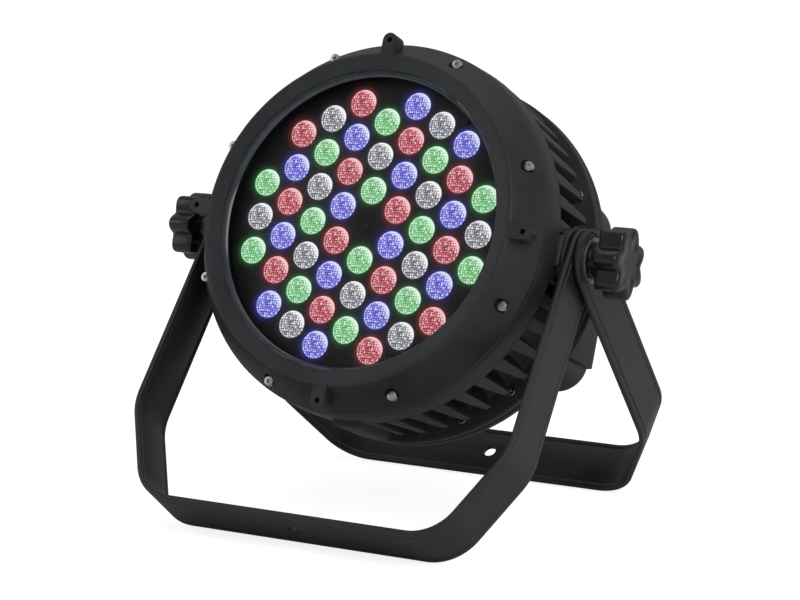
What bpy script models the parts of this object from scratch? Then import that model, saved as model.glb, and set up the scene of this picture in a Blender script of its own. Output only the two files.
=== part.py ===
"""Stage par light on a double yoke: a round die-cast head that hangs between two U-shaped
straps, which spread apart so that the light stands on the floor.

Frame: metres, +Z up, the light shines towards -Y, +X is to the right of someone who faces it.
The head is drawn in its own frame (x right, y back along the beam axis, z up, zero at the
front of the lenses); an empty on the tilt axis turns it. Both yokes hang from the same axis.
"""
import math

import bmesh
import bpy
from mathutils import Matrix, Vector

MM = 0.001
GAP = 0.3 * MM                    # air left between pieces that touch

# ---- head: sizes along the beam axis are measured back from the front of the lenses ----
LENS_PITCH = 25.0 * MM            # distance between neighbouring lenses
LENS_R = 9.7 * MM
LENS_RINGS = 4                    # a hexagon of lenses four rings deep, corners and middle empty
LENS_SIDES = 6
MASK_Y = 1.2 * MM
MASK_T = 1.5 * MM
WEB_T = 1.5 * MM                  # moulded sheet that joins the lenses behind the mask
BOARD_T = 1.6 * MM
BOARD_R = 104.0 * MM
MASK_HEAD_R = 2.6 * MM
MASK_HEAD_T = 0.9 * MM
MASK_SHANK_R = 1.25 * MM
MASK_SCREW_GRIP = 4.0 * MM

OPENING_R = 107.0 * MM            # clear opening of the front ring
LIP_Y = -16.9 * MM                # front edge of the opening
LIP_T = 5.0 * MM
GLASS_GASKET_T = 0.8 * MM
GLASS_T = 3.0 * MM
GLASS_R = 113.0 * MM
CREST_Y = -18.2 * MM              # the nearly flat front ends in a narrow crest
CREST_IN_R = 115.6 * MM
CREST_OUT_R = 118.0 * MM
RING_R = 133.2 * MM               # and falls back outside it to its joint with the housing
RING_EDGE_Y = 7.0 * MM
SEAT_Y = 9.0 * MM
SEAL_T = 1.3 * MM
SEAL_IN_R = 115.5 * MM
SEAL_W = 4.0 * MM
RING_SEGMENTS = 48

TAB_W = 10.5 * MM                 # four bars across the ring, level with its crest
TAB_R = 134.0 * MM
TAB_DEPTH = 12.0 * MM
TAB_HOLE_R = 2.0 * MM
TAB_HOLE_DEPTH = 6.0 * MM

FRONT_SCREWS = 8
FRONT_SCREW_CIRCLE = 127.0 * MM
SCREW_HEAD_R = 3.5 * MM           # M4 socket cap screw
SCREW_HEAD_T = 4.0 * MM
SCREW_SHANK_R = 2.0 * MM
SCREW_REACH = 20.0 * MM
HEX_KEY_R = 1.73 * MM
HEX_KEY_DEPTH = 2.2 * MM
POCKET_R = 4.5 * MM
POCKET_Y = -1.0 * MM              # floor of the screw pockets

BAND_R = 134.8 * MM               # plain band of the housing between the ring and the fins
FINS = 48
FIN_FRONT_Y = 28.0 * MM
FIN_TIP_Y = 80.0 * MM
FIN_TIP_R = 132.5 * MM
FIN_ROOT_SHARE = 0.53             # part of the pitch that a fin fills at its front
FIN_TIP_SHARE = 0.26
FIN_DRAFT = 0.03                  # extra half width at the root, as a part of the pitch
DRUM_R = 113.0 * MM               # drum under the fins
DRUM_REAR_R = 118.0 * MM
FLANGE_Y = 93.0 * MM              # rear flange, front and back faces
FLANGE_T = 6.0 * MM
FLANGE_R = 135.0 * MM
DECK_Y = 14.0 * MM                # plate that carries the light board and takes its heat
DECK_T = 7.0 * MM
FRONT_BORE_R = 109.0 * MM
REAR_BORE_R = 105.0 * MM
WIRE_HOLE_X = 12.5 * MM
WIRE_HOLE_R = 4.0 * MM

SHELL_WALL = 3.5 * MM
SHELL_RIM_T = 6.0 * MM
SHELL_GASKET_T = 1.2 * MM
SHELL_POINTS = 44
DOME_R = 130.0 * MM
DOME_END_R = 118.0 * MM
DOME_DEPTH = 32.0 * MM
DOME_STEPS = 3
SHELL_CAVITY_R = 110.0 * MM
REAR_SEAL_R = 118.0 * MM
BOX_HALF_W = 108.0 * MM           # driver box on the back
BOX_HALF_H = 76.0 * MM
BOX_DEPTH = 56.0 * MM
BOX_ROUNDING = 56.0 * MM          # depth over which the box is rounded as drawn
BOX_CORNER = 8.0                  # exponent of the box outline: 2 is round, more is squarer
RIM_SCREW_ANGLES = (26, 64, 116, 154, -135, -109, -86, -64, -45)
RIM_SCREW_CIRCLE = 126.5 * MM
RIM_HEAD_R = 2.75 * MM
RIM_HEAD_T = 2.6 * MM
RIM_SHANK_R = 1.5 * MM

# ---- tilt axis ----
PIVOT_Y = 50.0 * MM               # tilt axis behind the lens fronts
HEAD_TILT = math.radians(20.95)
BOSS_R = 21.0 * MM
BOSS_X = 139.6 * MM               # flat end of the pivot bosses
BOSS_WASHER_T = 1.2 * MM
LUG_W = 22.0 * MM                 # square lugs at the four quarters of the drum
LUG_REACH = 137.5 * MM
LUG_FRONT_Y = 26.5 * MM
LUG_BACK_Y = 74.0 * MM
STUD_R = 4.0 * MM
STUD_DEPTH = 22.0 * MM            # thread in the pivot boss
STUD_CLEAR = 0.35 * MM

# ---- yokes ----
STRAP_W = 43.0 * MM
STRAP_T = 4.0 * MM
STRAP_CHAMFER = 0.9 * MM
EAR_WASHER_T = 1.2 * MM
YOKE_LEAN = math.radians(37.25)   # inner yoke, from straight down
EAR_FLAT = 24.0 * MM              # the ears stay square to the axis this far below it
YOKE_FLARE = 3.5 * MM             # the arms spread this much on the way to the first bend
INNER_REACH = 225.0 * MM          # pivot to the middle of the inner yoke's bar
SHOULDER_DROP = 68.0 * MM         # first bend, this far above the bar
SHOULDER_IN = 33.0 * MM           # the bar's half width is this much less than the arms'
SHOULDER_BEND = 42.0 * MM
FOOT_BEND = 34.0 * MM
BAR_HOLE_R = 5.0 * MM
NEST_GAP = 7.0 * MM               # air between the yokes when they are folded together

# ---- clamps ----
CLAMP_WASHER_R = 16.0 * MM
CLAMP_WASHER_T = 1.6 * MM
KNOB_LOBES = 7
KNOB_R = 25.5 * MM
KNOB_VALLEY_R = 19.5 * MM
KNOB_GRIP_T = 18.0 * MM
KNOB_HUB_R = 13.0 * MM
KNOB_HUB_T = 9.0 * MM
KNOB_BORE = 14.0 * MM
KNOB_TURN = math.radians(12.0)

# ---- rear controls and inlets ----
WINDOW = (50.0 * MM, 3.0 * MM, 22.0 * MM)
WINDOW_Z = 19.0 * MM
BUTTON_R = 4.5 * MM
BUTTON_PITCH = 17.0 * MM
BUTTON_Z = -8.0 * MM
BUTTON_STAND = 2.2 * MM
GLAND_X = 32.0 * MM
GLAND_Z = -35.0 * MM
GLAND_HEX_R = 12.0 * MM
GLAND_DOME_R = 9.5 * MM
GLAND_BORE_R = 3.6 * MM
GLAND_SPIGOT_R = 7.0 * MM
GLAND_RECESS = 3.0 * MM           # the cord entry is blanked this far in
GLAND_T = 20.0 * MM
VENT_X = 0.0 * MM
VENT_R = 7.0 * MM
VENT_T = 5.0 * MM
VENT_SPIGOT_R = 3.0 * MM
EYE_X = 0.0 * MM
EYE_Z = 41.0 * MM
EYE_RING_R = 11.0 * MM
EYE_WIRE_R = 3.0 * MM
EYE_FOOT_T = 3.0 * MM

# ---- inside the driver box ----
POWER_SIZE = (120.0 * MM, 36.0 * MM, 60.0 * MM)
POWER_OFFSET = 44.0 * MM          # back of the shell to the middle of the supply
POWER_Z = 0.0
CONTROL_SIZE = (90.0 * MM, 1.6 * MM, 60.0 * MM)
BOARD_OFFSET = 10.0 * MM          # inside of the back wall to the middle of the board

COLOURS = {
    "powder_black": ((0.018, 0.019, 0.021), 0.48, 0.25),
    "strap_black": ((0.022, 0.023, 0.025), 0.42, 0.25),
    "knob_black": ((0.013, 0.013, 0.014), 0.38, 0.0),
    "stainless": ((0.62, 0.61, 0.59), 0.28, 1.0),
    "rubber": ((0.02, 0.02, 0.02), 0.8, 0.0),
    "glass": ((0.75, 0.85, 0.9), 0.05, 0.0),
    "lens_clear": ((0.8, 0.82, 0.85), 0.12, 0.0),
    "mask_black": ((0.01, 0.01, 0.011), 0.5, 0.0),
    "board_white": ((0.8, 0.8, 0.78), 0.4, 0.0),
    "board_green": ((0.02, 0.2, 0.08), 0.45, 0.0),
    "steel_grey": ((0.5, 0.5, 0.5), 0.4, 1.0),
    "nylon_black": ((0.02, 0.02, 0.022), 0.5, 0.0),
    "window_smoke": ((0.05, 0.06, 0.07), 0.08, 0.0),
}


# ---------------------------------------------------------------- helpers
def clear_scene():
    for old in list(bpy.data.objects):
        bpy.data.objects.remove(old, do_unlink=True)


def material(name):
    found = bpy.data.materials.get(name)
    if found:
        return found
    colour, roughness, metallic = COLOURS[name]
    made = bpy.data.materials.new(name)
    made.use_nodes = True
    shader = made.node_tree.nodes["Principled BSDF"]
    shader.inputs["Base Color"].default_value = (*colour, 1.0)
    shader.inputs["Roughness"].default_value = roughness
    shader.inputs["Metallic"].default_value = metallic
    made.diffuse_color = (*colour, 1.0)
    return made


def empty(name, parent=None, location=(0, 0, 0), turn_x=0.0):
    made = bpy.data.objects.new(name, None)
    made.empty_display_size = 0.02
    made.parent = parent
    made.location = location
    made.rotation_euler = (turn_x, 0, 0)
    bpy.context.collection.objects.link(made)
    return made


def finish(name, bm, parent, finish_name=None, cutter=False):
    """Turn a bmesh into a named object; faces point out, round walls shade smooth."""
    bmesh.ops.remove_doubles(bm, verts=bm.verts, dist=1e-6)
    bmesh.ops.recalc_face_normals(bm, faces=bm.faces)
    mesh = bpy.data.meshes.new(name)
    bm.to_mesh(mesh)
    bm.free()
    made = bpy.data.objects.new(name, mesh)
    made.parent = parent
    bpy.context.collection.objects.link(made)
    if cutter:
        made.hide_render = True
        made.display_type = "WIRE"
        return made
    mesh.shade_smooth()
    mesh.set_sharp_from_angle(angle=math.radians(32))
    mesh.materials.append(material(finish_name))
    return made


def boolean(target, tool, operation="DIFFERENCE"):
    step = target.modifiers.new(tool.name, "BOOLEAN")
    step.object = tool
    step.operation = operation


def lathe(bm, profile, segments):
    """Turn a closed outline of (radius, depth) points about the beam axis."""
    rings = []
    for radius, depth in profile:
        if radius < 1e-7:
            rings.append([bm.verts.new((0, depth, 0))] * segments)
            continue
        ring = []
        for k in range(segments):
            angle = 2 * math.pi * k / segments
            ring.append(bm.verts.new((radius * math.cos(angle), depth, radius * math.sin(angle))))
        rings.append(ring)
    count = len(rings)
    for i in range(count):
        near, far = rings[i], rings[(i + 1) % count]
        for k in range(segments):
            n = (k + 1) % segments
            corners = []
            for corner in (near[k], near[n], far[n], far[k]):
                if corner not in corners:
                    corners.append(corner)
            if len(corners) > 2:
                bm.faces.new(corners)


def rod(bm, start, end, radius, sides, end_radius=None, twist=0.0):
    """A closed prism with round outline between two points."""
    start, end = Vector(start), Vector(end)
    turn = (end - start).to_track_quat("Z", "Y").to_matrix().to_4x4()
    place = Matrix.Translation((start + end) / 2) @ turn @ Matrix.Rotation(twist, 4, "Z")
    bmesh.ops.create_cone(bm, cap_ends=True, segments=sides, radius1=radius,
                          radius2=radius if end_radius is None else end_radius,
                          depth=(end - start).length, matrix=place)


def block(bm, centre, size, turn_y=0.0):
    place = Matrix.Rotation(turn_y, 4, "Y") @ Matrix.Translation(centre)
    scale = Matrix.Diagonal((*size, 1.0))
    bmesh.ops.create_cube(bm, size=1.0, matrix=place @ scale)


def loft(bm, outlines, closed=False):
    """Skin a list of outlines with the same number of points; ends are capped unless closed."""
    rings = [[bm.verts.new(point) for point in outline] for outline in outlines]
    count = len(rings[0])
    pairs = list(zip(rings, rings[1:]))
    if closed:
        pairs.append((rings[-1], rings[0]))
    for near, far in pairs:
        for k in range(count):
            n = (k + 1) % count
            bm.faces.new((near[k], near[n], far[n], far[k]))
    if not closed:
        bm.faces.new(rings[0])
        bm.faces.new(list(reversed(rings[-1])))


def polar(radius, degrees, depth):
    angle = math.radians(degrees)
    return Vector((radius * math.cos(angle), depth, radius * math.sin(angle)))


def lens_places():
    """Centres of the lenses on a triangular grid, leaving out the middle and the six corners."""
    places = []
    for column in range(-LENS_RINGS, LENS_RINGS + 1):
        x = column * LENS_PITCH * math.sqrt(3) / 2
        rows = 2 * LENS_RINGS + 1 - abs(column)
        for row in range(rows):
            step = row - (rows - 1) / 2
            middle = column == 0 and step == 0
            corner = (abs(column) in (0, LENS_RINGS)) and row in (0, rows - 1)
            if not middle and not corner:
                places.append((x, step * LENS_PITCH))
    return places


# ---------------------------------------------------------------- front of the head
def glass_front():
    return LIP_Y + LIP_T + GAP + GLASS_GASKET_T + GAP


def front_ring(parent):
    pocket_r = GLASS_R + GAP
    profile = (
        (OPENING_R, LIP_Y), (CREST_IN_R, CREST_Y + 0.6 * MM), (CREST_IN_R + 0.7 * MM, CREST_Y),
        (CREST_OUT_R, CREST_Y), (CREST_OUT_R + 1.1 * MM, CREST_Y + 1.2 * MM),
        (RING_R, RING_EDGE_Y), (RING_R + 0.3 * MM, SEAT_Y), (pocket_r, SEAT_Y),
        (pocket_r, LIP_Y + LIP_T), (OPENING_R, LIP_Y + LIP_T))
    bm = bmesh.new()
    lathe(bm, profile, RING_SEGMENTS)
    ring = finish("front_bezel", bm, parent, "powder_black")

    hole_circle = TAB_R - TAB_W / 2
    bm = bmesh.new()
    for quarter in range(4):
        angle = math.radians(90 * quarter)
        outline = []
        for k in range(7):
            arc = math.radians(-90 + 30 * k)
            outline.append((hole_circle + TAB_W / 2 * math.cos(arc), TAB_W / 2 * math.sin(arc)))
        outline += [(CREST_IN_R + MM, TAB_W / 2), (CREST_IN_R + MM, -TAB_W / 2)]
        c, s = math.cos(angle), math.sin(angle)
        loft(bm, [[(c * u - s * w, depth, s * u + c * w) for u, w in outline]
                  for depth in (CREST_Y, CREST_Y + TAB_DEPTH)])
    boolean(ring, finish("cut_tabs", bm, parent, cutter=True), "UNION")

    bm = bmesh.new()
    for quarter in range(4):
        rod(bm, polar(hole_circle, 90 * quarter, CREST_Y - MM),
            polar(hole_circle, 90 * quarter, CREST_Y + TAB_HOLE_DEPTH), TAB_HOLE_R, 8)
    for k in range(FRONT_SCREWS):
        angle = 360 * (k + 0.5) / FRONT_SCREWS
        rod(bm, polar(FRONT_SCREW_CIRCLE, angle, CREST_Y - MM),
            polar(FRONT_SCREW_CIRCLE, angle, POCKET_Y), POCKET_R, 12)
    boolean(ring, finish("cut_ring_pockets", bm, parent, cutter=True))
    bm = bmesh.new()
    for k in range(FRONT_SCREWS):
        angle = 360 * (k + 0.5) / FRONT_SCREWS
        rod(bm, polar(FRONT_SCREW_CIRCLE, angle, POCKET_Y - MM),
            polar(FRONT_SCREW_CIRCLE, angle, SEAT_Y + MM), SCREW_SHANK_R + GAP, 8)
    boolean(ring, finish("cut_ring_holes", bm, parent, cutter=True))
    return ring


def cap_screw(name, parent, head_at, head_r, head_t, shank_r, reach, key_r, key_depth, sides):
    """Socket screw: head_at is the middle of the head's outer face, and the shank runs back."""
    bm = bmesh.new()
    x, y, z = head_at
    outer = [(0, y + key_depth), (key_r, y + key_depth), (key_r, y), (head_r - 0.3 * MM, y),
             (head_r, y + 0.4 * MM), (head_r, y + head_t), (shank_r, y + head_t),
             (shank_r, y + head_t + reach), (0, y + head_t + reach)]
    rings = []
    for radius, depth in outer:
        if radius < 1e-7:
            rings.append([bm.verts.new((x, depth, z))])
            continue
        ring = []
        for k in range(sides):
            angle = 2 * math.pi * k / sides
            ring.append(bm.verts.new((x + radius * math.cos(angle), depth,
                                      z + radius * math.sin(angle))))
        rings.append(ring)
    for near, far in zip(rings, rings[1:]):
        for k in range(sides):
            n = (k + 1) % sides
            if len(near) == 1:
                bm.faces.new((near[0], far[n], far[k]))
            elif len(far) == 1:
                bm.faces.new((near[k], near[n], far[0]))
            else:
                bm.faces.new((near[k], near[n], far[n], far[k]))
    return finish(name, bm, parent, "stainless")


def glass_and_seals(parent):
    front = glass_front()
    bm = bmesh.new()
    lathe(bm, ((0, front), (GLASS_R, front), (GLASS_R, front + GLASS_T), (0, front + GLASS_T)),
          RING_SEGMENTS)
    finish("front_glass", bm, parent, "glass")
    gasket_y = LIP_Y + LIP_T + GAP
    bm = bmesh.new()
    lathe(bm, ((OPENING_R + MM, gasket_y), (GLASS_R, gasket_y),
               (GLASS_R, gasket_y + GLASS_GASKET_T), (OPENING_R + MM, gasket_y + GLASS_GASKET_T)),
          32)
    finish("glass_gasket", bm, parent, "rubber")
    top = SEAT_Y + GAP
    bm = bmesh.new()
    lathe(bm, ((SEAL_IN_R, top), (SEAL_IN_R + SEAL_W, top), (SEAL_IN_R + SEAL_W, top + SEAL_T),
               (SEAL_IN_R, top + SEAL_T)), 32)
    finish("housing_gasket", bm, parent, "rubber")


def mask_screw_places():
    reach = 3.95 * LENS_PITCH
    spots = [(0.0, 0.0)]
    for degrees in (52, 172, 292):
        angle = math.radians(degrees)
        spots.append((reach * math.cos(angle), reach * math.sin(angle)))
    return spots


def lens_unit(parent):
    """Black mask, the moulded lenses that look through it, and the light board behind."""
    mask_back = MASK_Y + MASK_T
    bm = bmesh.new()
    mask_r = FRONT_BORE_R - GAP
    lathe(bm, ((0, MASK_Y), (mask_r, MASK_Y), (mask_r, mask_back), (0, mask_back)), 48)
    mask = finish("lens_mask_plate", bm, parent, "mask_black")
    bm = bmesh.new()
    for x, z in lens_places():
        rod(bm, (x, MASK_Y - MM, z), (x, mask_back + MM, z), LENS_R + GAP, LENS_SIDES)
    for x, z in mask_screw_places():
        rod(bm, (x, MASK_Y - MM, z), (x, mask_back + MM, z), MASK_SHANK_R + GAP, 6)
    boolean(mask, finish("cut_mask", bm, parent, cutter=True))

    web_front = mask_back + GAP
    bm = bmesh.new()
    lathe(bm, ((0, web_front), (mask_r, web_front), (mask_r, web_front + WEB_T),
               (0, web_front + WEB_T)), 48)
    lenses = finish("lens_array", bm, parent, "lens_clear")
    bm = bmesh.new()
    for x, z in lens_places():
        rod(bm, (x, 0.0, z), (x, web_front + WEB_T / 2, z), LENS_R, LENS_SIDES)
    boolean(lenses, finish("cut_lens_stubs", bm, parent, cutter=True), "UNION")
    bm = bmesh.new()
    for x, z in mask_screw_places():
        rod(bm, (x, web_front - MM, z), (x, web_front + 2 * WEB_T, z), MASK_SHANK_R + GAP, 6)
    boolean(lenses, finish("cut_lens_screws", bm, parent, cutter=True))

    board_back = DECK_Y - GAP
    board_front = board_back - BOARD_T
    bm = bmesh.new()
    lathe(bm, ((0, board_front), (BOARD_R, board_front), (BOARD_R, board_back),
               (0, board_back)), 48)
    board = finish("led_board", bm, parent, "board_white")
    bm = bmesh.new()
    for x, z in mask_screw_places():
        rod(bm, (x, board_front - MM, z), (x, board_back + MM, z), MASK_SHANK_R + GAP, 6)
    boolean(board, finish("cut_board", bm, parent, cutter=True))

    for number, (x, z) in enumerate(mask_screw_places(), 1):
        head_y = MASK_Y - GAP - MASK_HEAD_T
        cap_screw(f"mask_screw_{number}", parent, (x, head_y, z), MASK_HEAD_R, MASK_HEAD_T,
                  MASK_SHANK_R, DECK_Y + 4 * MM - MASK_Y, 0.9 * MM, 0.5 * MM, 6)


# ---------------------------------------------------------------- housing
def fin_outline(valley_r, tip_r, share, depth):
    """Toothed outline: each fin has two points at its root and two at its edge."""
    points = []
    pitch = 2 * math.pi / FINS
    half = pitch * share / 2
    root = half + pitch * FIN_DRAFT
    for k in range(FINS):
        for turn, radius in ((-root, valley_r), (-half, tip_r), (half, tip_r), (root, valley_r)):
            angle = pitch * k + turn
            points.append((radius * math.cos(angle), depth, radius * math.sin(angle)))
    return points


def housing(parent):
    """Finned drum: front band, deck for the light board, rear flange, pivot bosses."""
    face = SEAT_Y + GAP
    flange_back = FLANGE_Y + FLANGE_T
    root, tip = FIN_ROOT_SHARE, FIN_TIP_SHARE
    bm = bmesh.new()
    loft(bm, [
        fin_outline(RING_R + 0.3 * MM, RING_R + 0.3 * MM, root, face),
        fin_outline(BAND_R, BAND_R, root, FIN_FRONT_Y),
        fin_outline(DRUM_R, BAND_R, root, FIN_FRONT_Y + 0.2 * MM),
        fin_outline(DRUM_REAR_R - MM, FIN_TIP_R, tip, FIN_TIP_Y),
        fin_outline(DRUM_REAR_R, DRUM_REAR_R, tip, FLANGE_Y - 0.2 * MM),
        fin_outline(FLANGE_R, FLANGE_R, root, FLANGE_Y),
        fin_outline(FLANGE_R, FLANGE_R, root, flange_back)])
    body = finish("main_housing", bm, parent, "powder_black")

    bm = bmesh.new()
    inside = REAR_BORE_R + 2 * MM
    middle = (inside + LUG_REACH) / 2
    size = (LUG_REACH - inside, LUG_BACK_Y - LUG_FRONT_Y, LUG_W)
    for quarter in range(4):
        block(bm, (middle, (LUG_FRONT_Y + LUG_BACK_Y) / 2, 0), size, math.radians(90 * quarter))
    lugs = finish("add_lugs", bm, parent, cutter=True)
    bm = bmesh.new()
    for side in (-1, 1):
        rod(bm, (side * (inside + MM), PIVOT_Y, 0), (side * BOSS_X, PIVOT_Y, 0), BOSS_R, 20,
            twist=math.radians(4))
    boolean(lugs, finish("add_bosses", bm, parent, cutter=True), "UNION")
    boolean(body, lugs, "UNION")
    bm = bmesh.new()
    rim_front = glass_front() + GLASS_T + GAP
    rod(bm, (0, rim_front, 0), (0, DECK_Y, 0), GLASS_R, 48)
    boolean(body, finish("add_rim", bm, parent, cutter=True), "UNION")

    bm = bmesh.new()
    rod(bm, (0, rim_front - MM, 0), (0, DECK_Y, 0), FRONT_BORE_R, 48)
    rod(bm, (0, DECK_Y + DECK_T, 0), (0, flange_back + MM, 0), REAR_BORE_R, 48)
    boolean(body, finish("cut_bores", bm, parent, cutter=True))
    bm = bmesh.new()
    groove_w = SEAL_W + 2 * GAP
    groove_in = SEAL_IN_R - GAP
    lathe(bm, ((groove_in, face - MM), (groove_in + groove_w, face - MM),
               (groove_in + groove_w, face + SEAL_T + GAP), (groove_in, face + SEAL_T + GAP)), 32)
    boolean(body, finish("cut_groove", bm, parent, cutter=True))
    bm = bmesh.new()
    for k in range(FRONT_SCREWS):
        angle = 360 * (k + 0.5) / FRONT_SCREWS
        rod(bm, polar(FRONT_SCREW_CIRCLE, angle, face - MM),
            polar(FRONT_SCREW_CIRCLE, angle, POCKET_Y + SCREW_REACH + 2 * MM),
            SCREW_SHANK_R + GAP, 8)
    for angle in RIM_SCREW_ANGLES:
        rod(bm, polar(RIM_SCREW_CIRCLE, angle, FLANGE_Y - MM),
            polar(RIM_SCREW_CIRCLE, angle, flange_back + MM), RIM_SHANK_R + GAP, 6)
    for x, z in mask_screw_places():
        rod(bm, (x, DECK_Y - MM, z), (x, DECK_Y + MASK_SCREW_GRIP + MM, z),
            MASK_SHANK_R + GAP, 6)
    rod(bm, (WIRE_HOLE_X, DECK_Y - MM, 0), (WIRE_HOLE_X, DECK_Y + DECK_T + MM, 0),
        WIRE_HOLE_R, 10)
    for side in (-1, 1):
        rod(bm, (side * (BOSS_X - STUD_DEPTH - 2 * MM), PIVOT_Y, 0),
            (side * (BOSS_X + MM), PIVOT_Y, 0), STUD_R + STUD_CLEAR, 12)
    boolean(body, finish("cut_screw_holes", bm, parent, cutter=True))


# ---------------------------------------------------------------- rear of the head
def shell_front():
    return FLANGE_Y + FLANGE_T + GAP + SHELL_GASKET_T + GAP


def shell_back():
    return shell_front() + SHELL_RIM_T + DOME_DEPTH + BOX_DEPTH


def rounded_outline(half_w, half_h, exponent, depth):
    points = []
    for k in range(SHELL_POINTS):
        angle = 2 * math.pi * (k + 0.5) / SHELL_POINTS
        c, s = math.cos(angle), math.sin(angle)
        size = (abs(c / half_w) ** exponent + abs(s / half_h) ** exponent) ** (-1 / exponent)
        points.append((size * c, depth, size * s))
    return points


def shell(parent):
    start = shell_front()
    dome = start + SHELL_RIM_T
    box = dome + DOME_DEPTH
    back = shell_back()
    wall = SHELL_WALL
    outlines = [rounded_outline(FLANGE_R, FLANGE_R, 2, start),
                rounded_outline(FLANGE_R, FLANGE_R, 2, dome)]
    for k in range(DOME_STEPS + 1):
        t = k / DOME_STEPS
        radius = DOME_END_R + (DOME_R - DOME_END_R) * math.sqrt(1 - (0.97 * t) ** 2)
        outlines.append(rounded_outline(radius, radius, 2, dome + 0.5 * MM + t * (DOME_DEPTH - MM)))
    steps = ((0.0, 0.0), (0.66, 4.0), (0.88, 12.0), (1.0, 26.0))
    for share, inset in steps:
        inset = inset * MM * BOX_DEPTH / BOX_ROUNDING
        outlines.append(rounded_outline(BOX_HALF_W - inset, BOX_HALF_H - inset, BOX_CORNER,
                                        box + share * BOX_DEPTH))
    for share, inset in ((1.0, 26.0), (0.88, 12.0), (0.0, 0.0)):
        inset = inset * MM * BOX_DEPTH / BOX_ROUNDING + wall
        depth = min(box + share * BOX_DEPTH, back - wall)
        outlines.append(rounded_outline(BOX_HALF_W - inset, BOX_HALF_H - inset, BOX_CORNER,
                                        depth))
    cavity = SHELL_CAVITY_R
    outlines.append(rounded_outline(cavity, cavity, 2, box - wall))
    outlines.append(rounded_outline(cavity, cavity, 2, start))
    bm = bmesh.new()
    rings = [[bm.verts.new(p) for p in outline] for outline in outlines]
    outer_end = 2 + DOME_STEPS + 1 + len(steps) - 1
    count = SHELL_POINTS
    order = list(zip(rings, rings[1:] + rings[:1]))
    for index, (near, far) in enumerate(order):
        if index == outer_end:
            continue
        for k in range(count):
            n = (k + 1) % count
            bm.faces.new((near[k], near[n], far[n], far[k]))
    bm.faces.new(rings[outer_end])
    bm.faces.new(list(reversed(rings[outer_end + 1])))
    cover = finish("rear_shell", bm, parent, "powder_black")

    bm = bmesh.new()
    for angle in RIM_SCREW_ANGLES:
        rod(bm, polar(RIM_SCREW_CIRCLE, angle, start - MM),
            polar(RIM_SCREW_CIRCLE, angle, start + SHELL_RIM_T + 3 * MM), RIM_SHANK_R + GAP, 6)
    for x in button_places():
        rod(bm, (x, back - wall - MM, BUTTON_Z), (x, back + MM, BUTTON_Z), BUTTON_R + GAP, 12)
    for x in (-GLAND_X, GLAND_X):
        rod(bm, (x, back - wall - MM, GLAND_Z), (x, back + MM, GLAND_Z), GLAND_SPIGOT_R + GAP, 12)
    rod(bm, (VENT_X, back - wall - MM, GLAND_Z), (VENT_X, back + MM, GLAND_Z),
        VENT_SPIGOT_R + GAP, 10)
    rod(bm, (EYE_X, back - wall - MM, EYE_Z), (EYE_X, back + MM, EYE_Z), EYE_WIRE_R + GAP, 10)
    boolean(cover, finish("cut_shell_holes", bm, parent, cutter=True))
    w, t, h = WINDOW
    bm = bmesh.new()
    block(bm, (0, back - t / 2 + MM, WINDOW_Z), (w + 2 * GAP, t + 2 * MM, h + 2 * GAP))
    boolean(cover, finish("cut_window_seat", bm, parent, cutter=True))

    gasket = FLANGE_Y + FLANGE_T + GAP
    bm = bmesh.new()
    lathe(bm, ((cavity + MM, gasket), (REAR_SEAL_R, gasket),
               (REAR_SEAL_R, gasket + SHELL_GASKET_T), (cavity + MM, gasket + SHELL_GASKET_T)), 32)
    finish("rear_gasket", bm, parent, "rubber")
    for number, angle in enumerate(RIM_SCREW_ANGLES, 1):
        place = polar(RIM_SCREW_CIRCLE, angle, FLANGE_Y - GAP - RIM_HEAD_T)
        reach = shell_front() + SHELL_RIM_T - FLANGE_Y + 2 * MM
        cap_screw(f"rim_screw_{number}", parent, place, RIM_HEAD_R, RIM_HEAD_T, RIM_SHANK_R,
                  reach, 1.3 * MM, 1.4 * MM, 6)


def button_places():
    return [(k - 1.5) * BUTTON_PITCH for k in range(4)]


def turned(name, parent, x, z, profile, segments, finish_name):
    """A lathe-turned piece whose axis is parallel to the beam."""
    bm = bmesh.new()
    lathe(bm, profile, segments)
    bmesh.ops.translate(bm, verts=bm.verts, vec=(x, 0, z))
    return finish(name, bm, parent, finish_name)


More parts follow.
